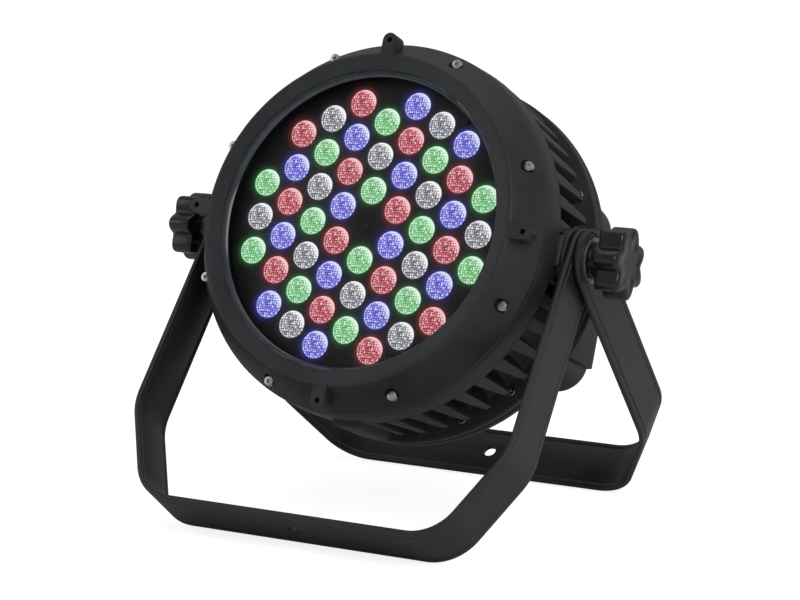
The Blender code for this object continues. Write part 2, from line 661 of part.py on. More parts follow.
def controls(parent):
    back = shell_back()
    wall = SHELL_WALL
    w, t, h = WINDOW
    bm = bmesh.new()
    block(bm, (0, back - t / 2 + GAP, WINDOW_Z), (w, t, h))
    finish("display_window", bm, parent, "window_smoke")
    names = ("menu", "down", "up", "enter")
    for name, x in zip(names, button_places()):
        slide = empty(f"{name}_button_slide", parent, (x, back, BUTTON_Z))
        turned(f"{name}_button", slide, 0, 0,
               ((0, -wall - BUTTON_STAND), (BUTTON_R, -wall - BUTTON_STAND),
                (BUTTON_R, BUTTON_STAND - 0.6 * MM), (BUTTON_R - 0.6 * MM, BUTTON_STAND),
                (0, BUTTON_STAND)), 16, "rubber")
    seat = back + GAP
    for name, x in (("power_in_gland", -GLAND_X), ("power_out_gland", GLAND_X)):
        turned(name, parent, x, GLAND_Z,
               ((0, back - wall - 2 * MM), (GLAND_SPIGOT_R, back - wall - 2 * MM),
                (GLAND_SPIGOT_R, seat), (GLAND_HEX_R, seat), (GLAND_HEX_R, seat + 6 * MM),
                (GLAND_DOME_R, seat + 7 * MM), (GLAND_DOME_R, seat + GLAND_T - 5 * MM),
                (GLAND_DOME_R - 3 * MM, seat + GLAND_T), (GLAND_BORE_R, seat + GLAND_T),
                (GLAND_BORE_R, seat + GLAND_T - GLAND_RECESS), (0, seat + GLAND_T - GLAND_RECESS)),
               12, "nylon_black")
    turned("breather_vent", parent, VENT_X, GLAND_Z,
           ((0, back - wall - 2 * MM), (VENT_SPIGOT_R, back - wall - 2 * MM),
            (VENT_SPIGOT_R, seat), (VENT_R, seat), (VENT_R, seat + VENT_T - MM),
            (VENT_R - MM, seat + VENT_T), (0, seat + VENT_T)), 16, "steel_grey")

    ring_y = seat + EYE_FOOT_T + EYE_RING_R
    bm = bmesh.new()
    sides, turns = 6, 14
    rings = []
    for k in range(turns):
        a = 2 * math.pi * k / turns
        ring = []
        for j in range(sides):
            b = 2 * math.pi * j / sides
            reach = EYE_RING_R + EYE_WIRE_R * math.cos(b)
            ring.append((EYE_X + EYE_WIRE_R * math.sin(b), ring_y + reach * math.cos(a),
                         EYE_Z + reach * math.sin(a)))
        rings.append(ring)
    loft(bm, rings, closed=True)
    eye = finish("safety_eye", bm, parent, "steel_grey")
    bm = bmesh.new()
    rod(bm, (EYE_X, seat, EYE_Z), (EYE_X, seat + EYE_FOOT_T + EYE_WIRE_R, EYE_Z),
        EYE_WIRE_R + 4 * MM, 16)
    boolean(eye, finish("add_eye_foot", bm, parent, cutter=True), "UNION")
    bm = bmesh.new()
    rod(bm, (EYE_X, back - wall - 2 * MM, EYE_Z), (EYE_X, seat + MM, EYE_Z), EYE_WIRE_R, 10)
    boolean(eye, finish("add_eye_shank", bm, parent, cutter=True), "UNION")

    bm = bmesh.new()
    block(bm, (0, back - POWER_OFFSET, POWER_Z), POWER_SIZE)
    finish("power_supply", bm, parent, "steel_grey")
    bm = bmesh.new()
    block(bm, (0, back - wall - BOARD_OFFSET, 0), CONTROL_SIZE)
    finish("control_board", bm, parent, "board_green")


# ---------------------------------------------------------------- yokes
def fillet(before, corner, after, radius, steps):
    """Points of the arc that rounds a corner of the path."""
    before, corner, after = Vector(before), Vector(corner), Vector(after)
    u, v = (before - corner).normalized(), (after - corner).normalized()
    half = u.angle(v) / 2
    start = corner + u * radius / math.tan(half)
    end = corner + v * radius / math.tan(half)
    centre = corner + (u + v).normalized() * radius / math.sin(half)
    a, b = start - centre, end - centre
    swing = a.angle(b)
    points = []
    for k in range(steps + 1):
        t = k / steps
        points.append(centre + (math.sin((1 - t) * swing) * a + math.sin(t * swing) * b)
                      / math.sin(swing))
    return points


def yoke(name, parent, ear_x, reach):
    """Flat strap bent into a U: ears on the tilt axis, arms down, shoulders, and a bar."""
    arm_x = ear_x + YOKE_FLARE
    bar_x = arm_x - SHOULDER_IN
    shoulder = reach - SHOULDER_DROP
    half = [Vector((ear_x, -STRAP_W / 2 * math.cos(math.radians(a)))) for a in (8, 25, 45, 67)]
    half += [Vector((ear_x, 0)), Vector((ear_x, EAR_FLAT))]
    half += fillet((ear_x, EAR_FLAT), (arm_x, shoulder), (bar_x, reach), SHOULDER_BEND, 5)
    half += fillet((arm_x, shoulder), (bar_x, reach), (0, reach), FOOT_BEND, 6)
    path = half + [Vector((-p.x, p.y)) for p in reversed(half)]
    outlines = []
    for index, point in enumerate(path):
        before = path[max(index - 1, 0)]
        after = path[min(index + 1, len(path) - 1)]
        along = (after - before).normalized()
        out = Vector((along.y, -along.x))
        rise = min(point.y, 0.0)
        half_w = math.sqrt((STRAP_W / 2) ** 2 - rise ** 2)
        t, c = STRAP_T / 2, STRAP_CHAMFER
        section = ((t, -half_w + c), (t, half_w - c), (t - c, half_w), (-t + c, half_w),
                   (-t, half_w - c), (-t, -half_w + c), (-t + c, -half_w), (t - c, -half_w))
        ring = []
        for lift, across in section:
            spot = point + out * lift
            ring.append((spot.x, across, -spot.y))
        outlines.append(ring)
    bm = bmesh.new()
    loft(bm, outlines)
    strap = finish(name, bm, parent, "strap_black")
    bm = bmesh.new()
    rod(bm, (-ear_x - STRAP_T, 0, 0), (ear_x + STRAP_T, 0, 0), STUD_R + STUD_CLEAR, 16)
    rod(bm, (0, 0, -reach - STRAP_T), (0, 0, -reach + STRAP_T), BAR_HOLE_R, 16)
    boolean(strap, finish("cut_" + name, bm, parent, cutter=True))


def washer(name, parent, x, thickness, radius):
    """Flat ring on the tilt axis; x is its face nearest the head, and carries the side."""
    side = math.copysign(1, x)
    bm = bmesh.new()
    lathe(bm, ((STUD_R + STUD_CLEAR, 0), (radius, 0), (radius, thickness),
               (STUD_R + STUD_CLEAR, thickness)), 16)
    turn = Matrix.Rotation(-side * math.pi / 2, 4, "Z")
    bmesh.ops.transform(bm, verts=bm.verts, matrix=Matrix.Translation((x, 0, 0)) @ turn)
    return finish(name, bm, parent, "stainless")


def star_outline(scale, x):
    points = []
    lobe = 2 * math.pi / KNOB_LOBES
    for k in range(KNOB_LOBES):
        for share, radius in ((-0.32, KNOB_R - 1.6 * MM), (-0.17, KNOB_R), (0.17, KNOB_R),
                              (0.32, KNOB_R - 1.6 * MM), (0.5, KNOB_VALLEY_R)):
            angle = KNOB_TURN + lobe * (k + share)
            points.append((x, scale * radius * math.cos(angle), scale * radius * math.sin(angle)))
    return points


def round_outline(radius, x):
    points = []
    lobe = 2 * math.pi / KNOB_LOBES
    for k in range(KNOB_LOBES):
        for share in (-0.32, -0.17, 0.17, 0.32, 0.5):
            angle = KNOB_TURN + lobe * (k + share)
            points.append((x, radius * math.cos(angle), radius * math.sin(angle)))
    return points


def clamp(side, name, axis_empty, outer_ear_face):
    """Washer, star knob and stud on one side; side is +1 or -1."""
    washer_x = outer_ear_face + GAP
    washer("clamp_washer_" + name, axis_empty, side * washer_x, CLAMP_WASHER_T, CLAMP_WASHER_R)
    hub = washer_x + CLAMP_WASHER_T + GAP
    grip = hub + KNOB_HUB_T
    end = grip + KNOB_GRIP_T
    bm = bmesh.new()
    loft(bm, [round_outline(KNOB_HUB_R, side * hub),
              round_outline(KNOB_HUB_R, side * (grip - 0.5 * MM)),
              star_outline(0.93, side * grip), star_outline(1.0, side * (grip + 1.5 * MM)),
              star_outline(1.0, side * (end - 2.0 * MM)),
              star_outline(0.93, side * (end - 0.3 * MM)),
              star_outline(0.55, side * end)])
    knob = finish("knob_" + name, bm, axis_empty, "knob_black")
    seat = hub + KNOB_BORE
    bm = bmesh.new()
    rod(bm, (side * (hub - MM), 0, 0), (side * (seat + GAP), 0, 0), STUD_R + GAP, 12)
    boolean(knob, finish("cut_knob_" + name, bm, axis_empty, cutter=True))
    bm = bmesh.new()
    rod(bm, (side * (BOSS_X - STUD_DEPTH), 0, 0), (side * seat, 0, 0), STUD_R, 12)
    finish("knob_stud_" + name, bm, axis_empty, "stainless")


def floor_lean(reach, height):
    """Lean at which a yoke of this reach touches a floor this far below the tilt axis."""
    outside = reach + STRAP_T / 2
    span = math.hypot(outside, STRAP_W / 2)
    return math.acos(height / span) + math.atan2(STRAP_W / 2, outside)


def build():
    clear_scene()
    inner_ear = BOSS_X + GAP + BOSS_WASHER_T + GAP
    inner_mid = inner_ear + STRAP_T / 2
    between = inner_ear + STRAP_T + GAP
    outer_ear = between + EAR_WASHER_T + GAP
    outer_mid = outer_ear + STRAP_T / 2
    outer_reach = INNER_REACH + STRAP_T + NEST_GAP
    axis_height = ((INNER_REACH + STRAP_T / 2) * math.cos(YOKE_LEAN)
                   + STRAP_W / 2 * math.sin(YOKE_LEAN))

    axis = empty("tilt_axis", location=(0, 0, axis_height))
    head = empty("head_pivot", axis, turn_x=-HEAD_TILT)
    lens_zero = empty("lens_plane", head, (0, -PIVOT_Y, 0))
    front_ring(lens_zero)
    for number in range(FRONT_SCREWS):
        place = polar(FRONT_SCREW_CIRCLE, 360 * (number + 0.5) / FRONT_SCREWS,
                      POCKET_Y - GAP - SCREW_HEAD_T)
        cap_screw(f"bezel_screw_{number + 1}", lens_zero, place, SCREW_HEAD_R, SCREW_HEAD_T,
                  SCREW_SHANK_R, SCREW_REACH, HEX_KEY_R, HEX_KEY_DEPTH, 8)
    glass_and_seals(lens_zero)
    lens_unit(lens_zero)
    housing(lens_zero)
    shell(lens_zero)
    controls(lens_zero)

    inner = empty("inner_yoke_pivot", axis, turn_x=-YOKE_LEAN)
    yoke("front_yoke", inner, inner_mid, INNER_REACH)
    outer = empty("outer_yoke_pivot", axis, turn_x=floor_lean(outer_reach, axis_height))
    yoke("rear_yoke", outer, outer_mid, outer_reach)
    for side, name in ((1, "right"), (-1, "left")):
        washer("boss_washer_" + name, head, side * (BOSS_X + GAP), BOSS_WASHER_T, CLAMP_WASHER_R)
        washer("ear_washer_" + name, axis, side * between, EAR_WASHER_T, CLAMP_WASHER_R)
        clamp(side, name, axis, outer_ear + STRAP_T)
    centre_on_floor(axis)


def centre_on_floor(axis):
    """Slide the whole model so that the middle of its footprint is the origin."""
    bpy.context.view_layer.update()
    depsgraph = bpy.context.evaluated_depsgraph_get()
    low, high = math.inf, -math.inf
    for piece in bpy.context.scene.objects:
        if piece.type == "MESH" and not piece.hide_render:
            placed = piece.evaluated_get(depsgraph)
            for vertex in placed.data.vertices:
                y = (placed.matrix_world @ vertex.co).y
                low, high = min(low, y), max(high, y)
    axis.location.y = -(low + high) / 2


build()
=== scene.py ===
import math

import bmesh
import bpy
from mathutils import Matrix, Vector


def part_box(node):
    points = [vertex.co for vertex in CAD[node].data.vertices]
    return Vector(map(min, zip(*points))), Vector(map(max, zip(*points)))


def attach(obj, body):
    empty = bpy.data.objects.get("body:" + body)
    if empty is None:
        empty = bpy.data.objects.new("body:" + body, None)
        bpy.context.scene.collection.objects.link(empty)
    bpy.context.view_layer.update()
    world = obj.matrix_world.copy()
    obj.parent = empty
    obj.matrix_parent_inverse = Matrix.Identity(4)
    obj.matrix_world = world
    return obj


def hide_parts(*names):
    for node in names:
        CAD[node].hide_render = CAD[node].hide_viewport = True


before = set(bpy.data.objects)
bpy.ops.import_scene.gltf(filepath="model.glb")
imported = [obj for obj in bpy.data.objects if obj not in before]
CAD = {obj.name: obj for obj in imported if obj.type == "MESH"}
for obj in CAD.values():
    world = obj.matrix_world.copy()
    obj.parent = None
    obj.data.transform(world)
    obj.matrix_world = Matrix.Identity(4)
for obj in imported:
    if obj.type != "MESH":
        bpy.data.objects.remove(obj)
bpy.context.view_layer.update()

# %% [markdown]
# # A stage par light, piece by piece
# The working model is already in the file: its bodies move on their joints. Here each piece that
# can be seen gets a finer shape or a finish. The head is drawn as it would lie on a bench: the
# beam looks along -Y, X is to the right, Z is up, and zero is the front of the lenses. One
# matrix then carries a finished piece to its place on the tilted head.

MM = 0.001
HEAD_TILT = math.radians(20.95)
PIVOT_Y = 50 * MM


def middle(node):
    low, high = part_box(node)
    return (Vector(low) + Vector(high)) / 2


AXIS = Vector((0, *middle("clamp_washer_left").yz))
HEAD = (Matrix.Translation(AXIS) @ Matrix.Rotation(-HEAD_TILT, 4, "X")
        @ Matrix.Translation((0, -PIVOT_Y, 0)))
print("tilt axis", [round(v, 4) for v in AXIS])
print("lens front", [round(v, 4) for v in HEAD.translation])

# %% [markdown]
# Every tool acts on what is selected, so each piece starts with nothing selected. A piece ends
# with its place in its mesh, because patterns are measured from the object's own zero.

# %% Small tools for every piece


def rest():
    if bpy.context.object and bpy.context.object.mode != "OBJECT":
        bpy.ops.object.mode_set(mode="OBJECT")
    bpy.ops.object.select_all(action="DESELECT")


def pick(*pieces):
    rest()
    for piece in pieces:
        piece.select_set(True)
    bpy.context.view_layer.objects.active = pieces[0]
    return pieces[0]


def named(name):
    """Leave edit mode, put the new piece's place in its mesh, and name it."""
    bpy.ops.object.mode_set(mode="OBJECT")
    piece = bpy.context.object
    piece.name = piece.data.name = name
    bpy.ops.object.transform_apply(location=True, rotation=True, scale=True)
    return piece


def moved(piece, place):
    pick(piece)
    piece.matrix_world = place @ piece.matrix_world
    bpy.ops.object.transform_apply(location=True, rotation=True, scale=True)
    return piece


def joined(name, pieces):
    first = pick(*pieces)
    if len(pieces) > 1:
        bpy.ops.object.join()
    first.name = first.data.name = name
    return first


def copies(piece, places):
    """Copies of one piece, each with its own mesh; the pattern piece is used up."""
    made = []
    for place in places:
        pick(piece)
        bpy.ops.object.duplicate(linked=False)
        made.append(moved(bpy.context.object, place))
    rest()
    bpy.data.objects.remove(piece)
    return made


def modify(piece, kind, **settings):
    pick(piece)
    step = piece.modifiers.new(kind.title(), kind)
    for key, value in settings.items():
        setattr(step, key, value)
    bpy.ops.object.modifier_apply(modifier=step.name)
    return piece


def bevelled(piece, width, segments=3, angle=30):
    return modify(piece, "BEVEL", width=width, segments=segments, limit_method="ANGLE",
                  angle_limit=math.radians(angle), use_clamp_overlap=True)


def cut(piece, cutter, operation="DIFFERENCE"):
    modify(piece, "BOOLEAN", object=cutter, operation=operation, solver="EXACT")
    bpy.data.objects.remove(cutter)
    return piece


def smooth(piece, angle=30):
    pick(piece)
    bpy.ops.object.shade_smooth_by_angle(angle=math.radians(angle))
    return piece


def closed_up():
    """Merge doubles and turn the faces outwards, in edit mode."""
    bpy.ops.mesh.select_all(action="SELECT")
    bpy.ops.mesh.remove_doubles(threshold=2e-6)
    bpy.ops.mesh.normals_make_consistent(inside=False)


def spun(name, outline, steps=160):
    """Draw a chain of (radius, depth) points and spin it round the beam axis."""
    rest()
    start = Vector((outline[0][0], outline[0][1], 0)) * MM
    bpy.ops.mesh.primitive_plane_add(size=MM, location=start)
    bpy.ops.object.mode_set(mode="EDIT")
    bpy.ops.mesh.merge(type="CENTER")
    for (r0, y0), (r1, y1) in zip(outline, outline[1:] + outline[:1]):
        if outline[0][0] == 0 and (r1, y1) == outline[0]:
            break
        bpy.ops.mesh.extrude_vertices_move(
            TRANSFORM_OT_translate={"value": ((r1 - r0) * MM, (y1 - y0) * MM, 0)})
    bpy.ops.mesh.select_all(action="SELECT")
    bpy.ops.mesh.remove_doubles(threshold=2e-6)
    bpy.ops.mesh.spin(steps=steps, angle=2 * math.pi, center=(0, 0, 0), axis=(0, 1, 0))
    closed_up()
    return named(name)


def rod(name, at, radius, length, sides=48, tip=None):
    """A round bar that starts at a point and runs back along the beam axis."""
    rest()
    x, y, z = at
    centre = Vector((x, y + length / 2, z)) * MM
    bpy.ops.mesh.primitive_cone_add(
        vertices=sides, radius1=radius * MM, radius2=(radius if tip is None else tip) * MM,
        depth=length * MM, location=centre, rotation=(-math.pi / 2, 0, 0))
    bpy.ops.object.mode_set(mode="EDIT")
    return named(name)


def block(name, centre, size):
    rest()
    bpy.ops.mesh.primitive_cube_add(size=1, location=Vector(centre) * MM)
    bpy.ops.object.mode_set(mode="EDIT")
    bpy.ops.transform.resize(value=Vector(size) * MM, center_override=Vector(centre) * MM)
    return named(name)


def around(degrees, radius=0.0):
    """A place at a clock angle round the beam axis, turned to face outwards."""
    return (Matrix.Rotation(-math.radians(degrees), 4, "Y")
            @ Matrix.Translation((radius * MM, 0, 0)))


def count(piece):
    print(piece.name, len(piece.data.polygons), "faces")


# %% [markdown]
# ## Finishes
# A finish is a small network of nodes. Written as sums and products it reads like what it means,
# so one class wraps a socket, and an operator on it adds the maths node.

# %% A value in a material


class Wire:
    """A socket that can be added, scaled and fed to other nodes."""

    def __init__(self, tree, socket=None):
        self.tree, self.socket = tree, socket

    def node(self, kind, settings, sockets, out=0):
        made = self.tree.nodes.new("ShaderNode" + kind)
        for key, value in settings.items():
            if key == "stops":
                ramp = made.color_ramp
                while len(ramp.elements) < len(value):
                    ramp.elements.new(0.5)
                for element, (place, colour) in zip(ramp.elements, value):
                    element.position, element.color = place, (*colour, 1)
            else:
                setattr(made, key, value)
        for key, value in sockets.items():
            if isinstance(value, Wire):
                self.tree.links.new(value.socket, made.inputs[key])
            else:
                made.inputs[key].default_value = value
        return Wire(self.tree, made.outputs[out])

    def maths(self, operation, a, b=0.0):
        return self.node("Math", {"operation": operation}, {0: a, 1: b})

    def __add__(self, other):
        return self.maths("ADD", self, other)

    def __sub__(self, other):
        return self.maths("SUBTRACT", self, other)

    def __rsub__(self, other):
        return self.maths("SUBTRACT", other, self)

    def __mul__(self, other):
        return self.maths("MULTIPLY", self, other)

    def __truediv__(self, other):
        return self.maths("DIVIDE", self, other)

    def __pow__(self, other):
        return self.maths("POWER", self, other)

    __radd__, __rmul__ = __add__, __mul__

    def ramp(self, low, high):
        """0 below low, 1 above high, smooth between."""
        return self.node("MapRange", {"interpolation_type": "SMOOTHSTEP"},
                         {0: self, 1: low, 2: high, 3: 0.0, 4: 1.0})

    def blend(self, one, other):
        """This value picks between two colours."""
        return self.node("Mix", {"data_type": "RGBA"}, {0: self, 6: one, 7: other}, 2)

    def noise(self, scale, detail=2.0, stretch=(1, 1, 1)):
        place = self.node("TexCoord", {}, {}, 3)
        place = place.node("Mapping", {}, {"Vector": place, "Scale": stretch})
        return self.node("TexNoise", {}, {"Vector": place, "Scale": scale, "Detail": detail})

    def cells(self, scale, feature="F1"):
        place = self.node("TexCoord", {}, {}, 3)
        return self.node("TexVoronoi", {"feature": feature}, {"Vector": place, "Scale": scale})

    def bump(self, height, distance, strength=1.0):
        return self.node("Bump", {}, {"Height": height, "Distance": distance,
                                      "Strength": strength})


def finish(name, recipe, **constants):
    """A material: constants go on the shader's own sockets, the recipe gives what varies."""
    made = bpy.data.materials.new(name)
    made.use_nodes = True
    shader = made.node_tree.nodes["Principled BSDF"]
    for key, value in constants.items():
        shader.inputs[key.replace("_", " ")].default_value = value
    wire = Wire(made.node_tree)
    for key, value in recipe(wire).items():
        made.node_tree.links.new(value.socket, shader.inputs[key])
    return made


# %% [markdown]
# The head is die-cast aluminium under black powder coat, and the yokes are painted steel strap.
# Powder coat is a fine orange peel with duller and shinier patches, and a little dust in the
# hollows lifts the black to charcoal. Layered noise gives all three from one recipe.

# %% Powder coat


def powder(dark, light, rough, grain, peel):
    def recipe(w):
        cloud = w.noise(26, 4).ramp(0.3, 0.72)
        speck = w.noise(grain, 2)
        dust = w.noise(grain * 0.35, 3).ramp(0.58, 0.75)
        tone = (cloud * 0.7 + speck * 0.3) + dust * 0.25
        return {"Base Color": tone.blend(dark, light),
                "Roughness": rough + (cloud - 0.5) * 0.10 + (speck - 0.5) * 0.12,
                "Normal": w.bump(speck + w.noise(grain * 0.4, 2) * 1.6, peel * MM)}
    return recipe


CAST = finish("cast_black", powder((0.016, 0.017, 0.020, 1), (0.034, 0.036, 0.041, 1),
                                   0.47, 1500, 0.055))
STRAP = finish("strap_black", powder((0.018, 0.019, 0.022, 1), (0.036, 0.038, 0.043, 1),
                                     0.43, 1900, 0.04))
print("powder coats", CAST.name, STRAP.name)

# %% [markdown]
# Moulded plastic is smoother than powder coat: faint flow marks, fine sparkle of spark erosion,
# and small rubbed patches where hands turn the knob. Rubber is the same recipe, much duller.

# %% Plastics and rubber


def moulded(dark, light, rough, grain, depth):
    def recipe(w):
        rub = w.noise(60, 3).ramp(0.45, 0.75)
        spark = w.noise(grain, 2)
        return {"Base Color": (rub * 0.6 + spark * 0.4).blend(dark, light),
                "Roughness": rough + rub * 0.1 + (spark - 0.5) * 0.08,
                "Normal": w.bump(spark, depth * MM)}
    return recipe


KNOB = finish("knob_plastic", moulded((0.004, 0.004, 0.005, 1), (0.009, 0.009, 0.010, 1),
                                      0.24, 900, 0.03), Coat_Weight=0.3, Coat_Roughness=0.12)
NYLON = finish("gland_nylon", moulded((0.015, 0.015, 0.016, 1), (0.032, 0.032, 0.034, 1),
                                      0.42, 1300, 0.03))
SEAL = finish("seal_rubber", moulded((0.012, 0.012, 0.012, 1), (0.028, 0.028, 0.028, 1),
                                     0.75, 1800, 0.05))
BEAD = finish("seal_bead", moulded((0.035, 0.042, 0.05, 1), (0.07, 0.082, 0.095, 1),
                                   0.16, 900, 0.02), Coat_Weight=0.5, Coat_Roughness=0.1)
KEY = finish("key_rubber", moulded((0.02, 0.02, 0.021, 1), (0.05, 0.05, 0.052, 1),
                                   0.62, 1800, 0.04))
MASK = finish("mask_black", lambda w: {
    "Base Color": (w.noise(90, 3) * 0.8 + w.noise(1400, 2) * 0.3).blend((0.006, 0.006, 0.007, 1),
                                                                     (0.015, 0.015, 0.017, 1)),
    "Roughness": 0.46 + w.noise(1400, 2) * 0.16,
    # painted glow: the plate emits the lens light painted into its points
    "Emission Color": w.node("Attribute", {"attribute_name": "stray_light"}, {}),
    "Normal": w.bump(w.noise(1400, 2), 0.03 * MM)}, Emission_Strength=1.0)
print("plastics", KNOB.name, NYLON.name, SEAL.name, KEY.name, MASK.name)

# %% [markdown]
# Screws are stainless steel and the hidden plates are zinc plated. Turned metal shows fine rings
# and scratches: noise stretched along one direction changes how sharp the reflection is.

# %% Metals


def turned_metal(dull, bright, rough):
    def recipe(w):
        brush = w.noise(900, 3, (1, 0.08, 1))
        stain = w.noise(140, 3)
        return {"Base Color": (stain * 0.6 + brush * 0.5).blend(dull, bright),
                "Roughness": rough + (brush - 0.5) * 0.2,
                "Normal": w.bump(brush, 0.02 * MM)}
    return recipe


STAINLESS = finish("stainless", turned_metal((0.42, 0.41, 0.39, 1), (0.74, 0.73, 0.71, 1), 0.26),
                   Metallic=1.0)
ZINC = finish("zinc_steel", turned_metal((0.30, 0.31, 0.31, 1), (0.60, 0.60, 0.58, 1), 0.36),
              Metallic=1.0)
BLACKED = finish("black_oxide", turned_metal((0.03, 0.03, 0.03, 1), (0.10, 0.10, 0.10, 1), 0.4),
                 Metallic=1.0)
print("metals", STAINLESS.name, ZINC.name, BLACKED.name)

# %% [markdown]
# The front glass is clear: almost all of it lets the light through, and only a faint gloss shows.
# The window on the back is smoked. The circuit boards keep their lacquer colours.

# %% Glass and boards


def clear(tint, hold, edge):
    def recipe(w):
        smear = w.noise(35, 3).ramp(0.45, 0.8)
        gloss = w.node("Fresnel", {}, {"IOR": 1.45})
        return {"Base Color": smear.blend(tint, (*(v * 1.3 for v in tint[:3]), 1)),
                "Roughness": 0.04 + smear * 0.05,
                "Alpha": hold + gloss * edge + smear * 0.01}
    return recipe


GLASS = finish("clear_glass", clear((0.01, 0.011, 0.012, 1), 0.02, 0.5))
WINDOW = finish("window_smoke", clear((0.012, 0.014, 0.016, 1), 0.86, 0.1))
BOARD = finish("board_white", moulded((0.62, 0.62, 0.60, 1), (0.8, 0.8, 0.78, 1),
                                      0.35, 700, 0.01))
GREEN = finish("board_green", moulded((0.01, 0.12, 0.05, 1), (0.03, 0.22, 0.09, 1),
                                      0.35, 700, 0.01))
print("clear", GLASS.name, WINDOW.name, BOARD.name, GREEN.name)

# %% [markdown]
# ## Lit lenses
# Each lens is a clear moulding whose front is covered in small pebbles that spread the light of
# the chip behind it. The middle looks a little darker where the chip sits, the pebbles catch
# white sparks, one side of the rim carries a painted highlight and the other side painted shade.
# The lens has its own map, so that the pattern is centred on it: distance from the middle drives the glow.

# %% Lens light


def lens_glow(gap, dot, spark):
    def recipe(w):
        spot = w.node("UVMap", {"uv_map": "face"}, {})
        where = w.node("SeparateXYZ", {}, {0: spot})
        up = Wire(w.tree, where.socket.node.outputs[1])
        far = w.node("VectorMath", {"operation": "LENGTH"}, {0: spot}, 1)
        cell = w.node("TexVoronoi", {"voronoi_dimensions": "2D"},
                      {"Vector": spot, "Scale": 5.6, "Randomness": 0.4})
        lot = w.node("SeparateColor", {}, {0: Wire(w.tree, cell.socket.node.outputs["Color"])})
        pebble = 1 - cell.ramp(0.18, 0.56)
        core = 1 - far.ramp(0.06, 0.36)
        side = where * 0.62 + up * 0.78
        # painted highlight on the upper right of the rim, and painted shade on the opposite side
        painted_glint = side.ramp(0.3, 0.8) * far.ramp(0.62, 0.88)
        shade = (-1 * side).ramp(0.1, 0.9) * far.ramp(0.3, 0.9)
        rim = far.ramp(0.9, 0.95) * (1 - far.ramp(0.96, 1.0))
        level = (0.08 + pebble * (0.34 + lot ** 2 * 1.35) + painted_glint * 0.7 + rim * 0.5
                 - core * 0.36 - shade * 0.14)
        tone = w.node("ValToRGB", {"stops": [(0.0, gap), (0.45, dot), (1.0, spark)]}, {0: level})
        return {"Emission Color": tone,
                "Base Color": far.ramp(0.8, 1.0).blend((0.05, 0.05, 0.055, 1),
                                                       (0.02, 0.02, 0.022, 1)),
                "Roughness": 0.16 + lot * 0.2,
                "Normal": w.bump(pebble, 0.25 * MM)}
    return recipe


LIGHTS = {
    "red": finish("lens_red", lens_glow((0.26, 0.020, 0.038), (0.62, 0.13, 0.17),
                                        (1.0, 0.62, 0.66)), Emission_Strength=1.0),
    "green": finish("lens_green", lens_glow((0.085, 0.34, 0.10), (0.30, 0.72, 0.34),
                                            (0.78, 1.0, 0.84)), Emission_Strength=1.0),
    "blue": finish("lens_blue", lens_glow((0.065, 0.055, 0.46), (0.24, 0.24, 0.84),
                                          (0.78, 0.82, 1.0)), Emission_Strength=1.0),
    "white": finish("lens_white", lens_glow((0.10, 0.10, 0.125), (0.37, 0.37, 0.43),
                                            (1.0, 1.0, 1.0)), Emission_Strength=1.0),
}
STRAY = {"red": (0.13, 0.020, 0.022), "green": (0.020, 0.10, 0.026), "blue": (0.030, 0.028, 0.19),
         "white": (0.022, 0.022, 0.030)}
print("lens colours", sorted(LIGHTS))

# %% [markdown]
# ## Placing a piece
# A piece that replaces a plain one hides it, hangs on the body it moves with, and takes its finish.

# %% Fit a piece to its body


def fitted(piece, body, finish_made, slot, *replaced):
    piece.data.materials.clear()
    piece.data.materials.append(finish_made)
    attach(piece, body)
    if replaced:
        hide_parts(*replaced)
    count(piece)
    return piece


# %% [markdown]
# ## Front ring
# The ring is one casting: a nearly flat front with a narrow crest, a cone down to the joint with
# the housing, four bars with a blind hole across it, and eight pockets for the screws. A turned
# outline spun round the axis gives face and cone, and a bevel rounds their edges. The bars are
# short cylinders with one half pulled straight, and rods cut the pockets.

# %% Front ring

RING = [(107.0, -16.9), (115.6, -17.6), (116.3, -18.2), (118.0, -18.2), (119.1, -17.0),
        (133.2, 6.2), (133.5, 9.0), (113.3, 9.0), (113.3, -11.9), (107.0, -11.9)]
SCREW_ANGLES = [22.5 + 45 * k for k in range(8)]
SCREW_CIRCLE, HOLE_CIRCLE = 127.0, 128.75
BAR_HALF, BAR_INWARD = 5.25, 6.9
ring = bevelled(spun("front_ring", RING, 192), 0.45 * MM, 3, 18)


def bar():
    """One bar across the ring: a strip with a round end, its top edge rounded."""
    rest()
    bpy.ops.mesh.primitive_cylinder_add(vertices=40, radius=BAR_HALF * MM, depth=12 * MM,
                                        location=(HOLE_CIRCLE * MM, -12.2 * MM, 0),
                                        rotation=(math.pi / 2, 0, 0))
    bpy.ops.object.mode_set(mode="EDIT")
    made = named("bar")
    for vertex in made.data.vertices:
        if vertex.co.x < HOLE_CIRCLE * MM - 1e-6:
            vertex.co.x -= BAR_INWARD * MM
            vertex.co.z = math.copysign(BAR_HALF * MM, vertex.co.z)
    bpy.ops.object.mode_set(mode="EDIT")
    closed_up()
    bpy.ops.mesh.dissolve_limited()
    bpy.ops.object.mode_set(mode="OBJECT")
    return bevelled(made, 0.7 * MM, 3, 40)


bars = copies(bar(), [around(90 * k) for k in range(4)])
for piece in bars:
    cut(ring, piece, "UNION")
for angle in SCREW_ANGLES:
    cut(ring, moved(rod("pocket", (0, -22, 0), 4.5, 21, 40), around(angle, SCREW_CIRCLE)))
for k in range(4):
    cut(ring, moved(rod("blind_hole", (0, -22, 0), 2.0, 9.8, 24), around(90 * k, HOLE_CIRCLE)))
smooth(ring, 32)
fitted(ring, "head", CAST, "cast_black", "front_bezel")

# %% [markdown]
# ## Screws
# A socket screw is a short cylinder with a rounded edge and a six-sided hole. The hole is a
# smaller hexagon cut into the top. One screw is made and copied to its places.

# %% Screws


def socket_screw(radius, height, key, depth, reach, shank):
    """Cap at y = 0, with its shank behind it."""
    head = bevelled(rod("screw", (0, 0, 0), radius, height, 40), 0.4 * MM, 3, 60)
    cut(head, rod("key", (0, -1, 0), key, depth + 1, 6))
    pin = rod("shank", (0, height - 0.2, 0), shank, reach, 24)
    return smooth(joined("screw", [head, pin]), 35)


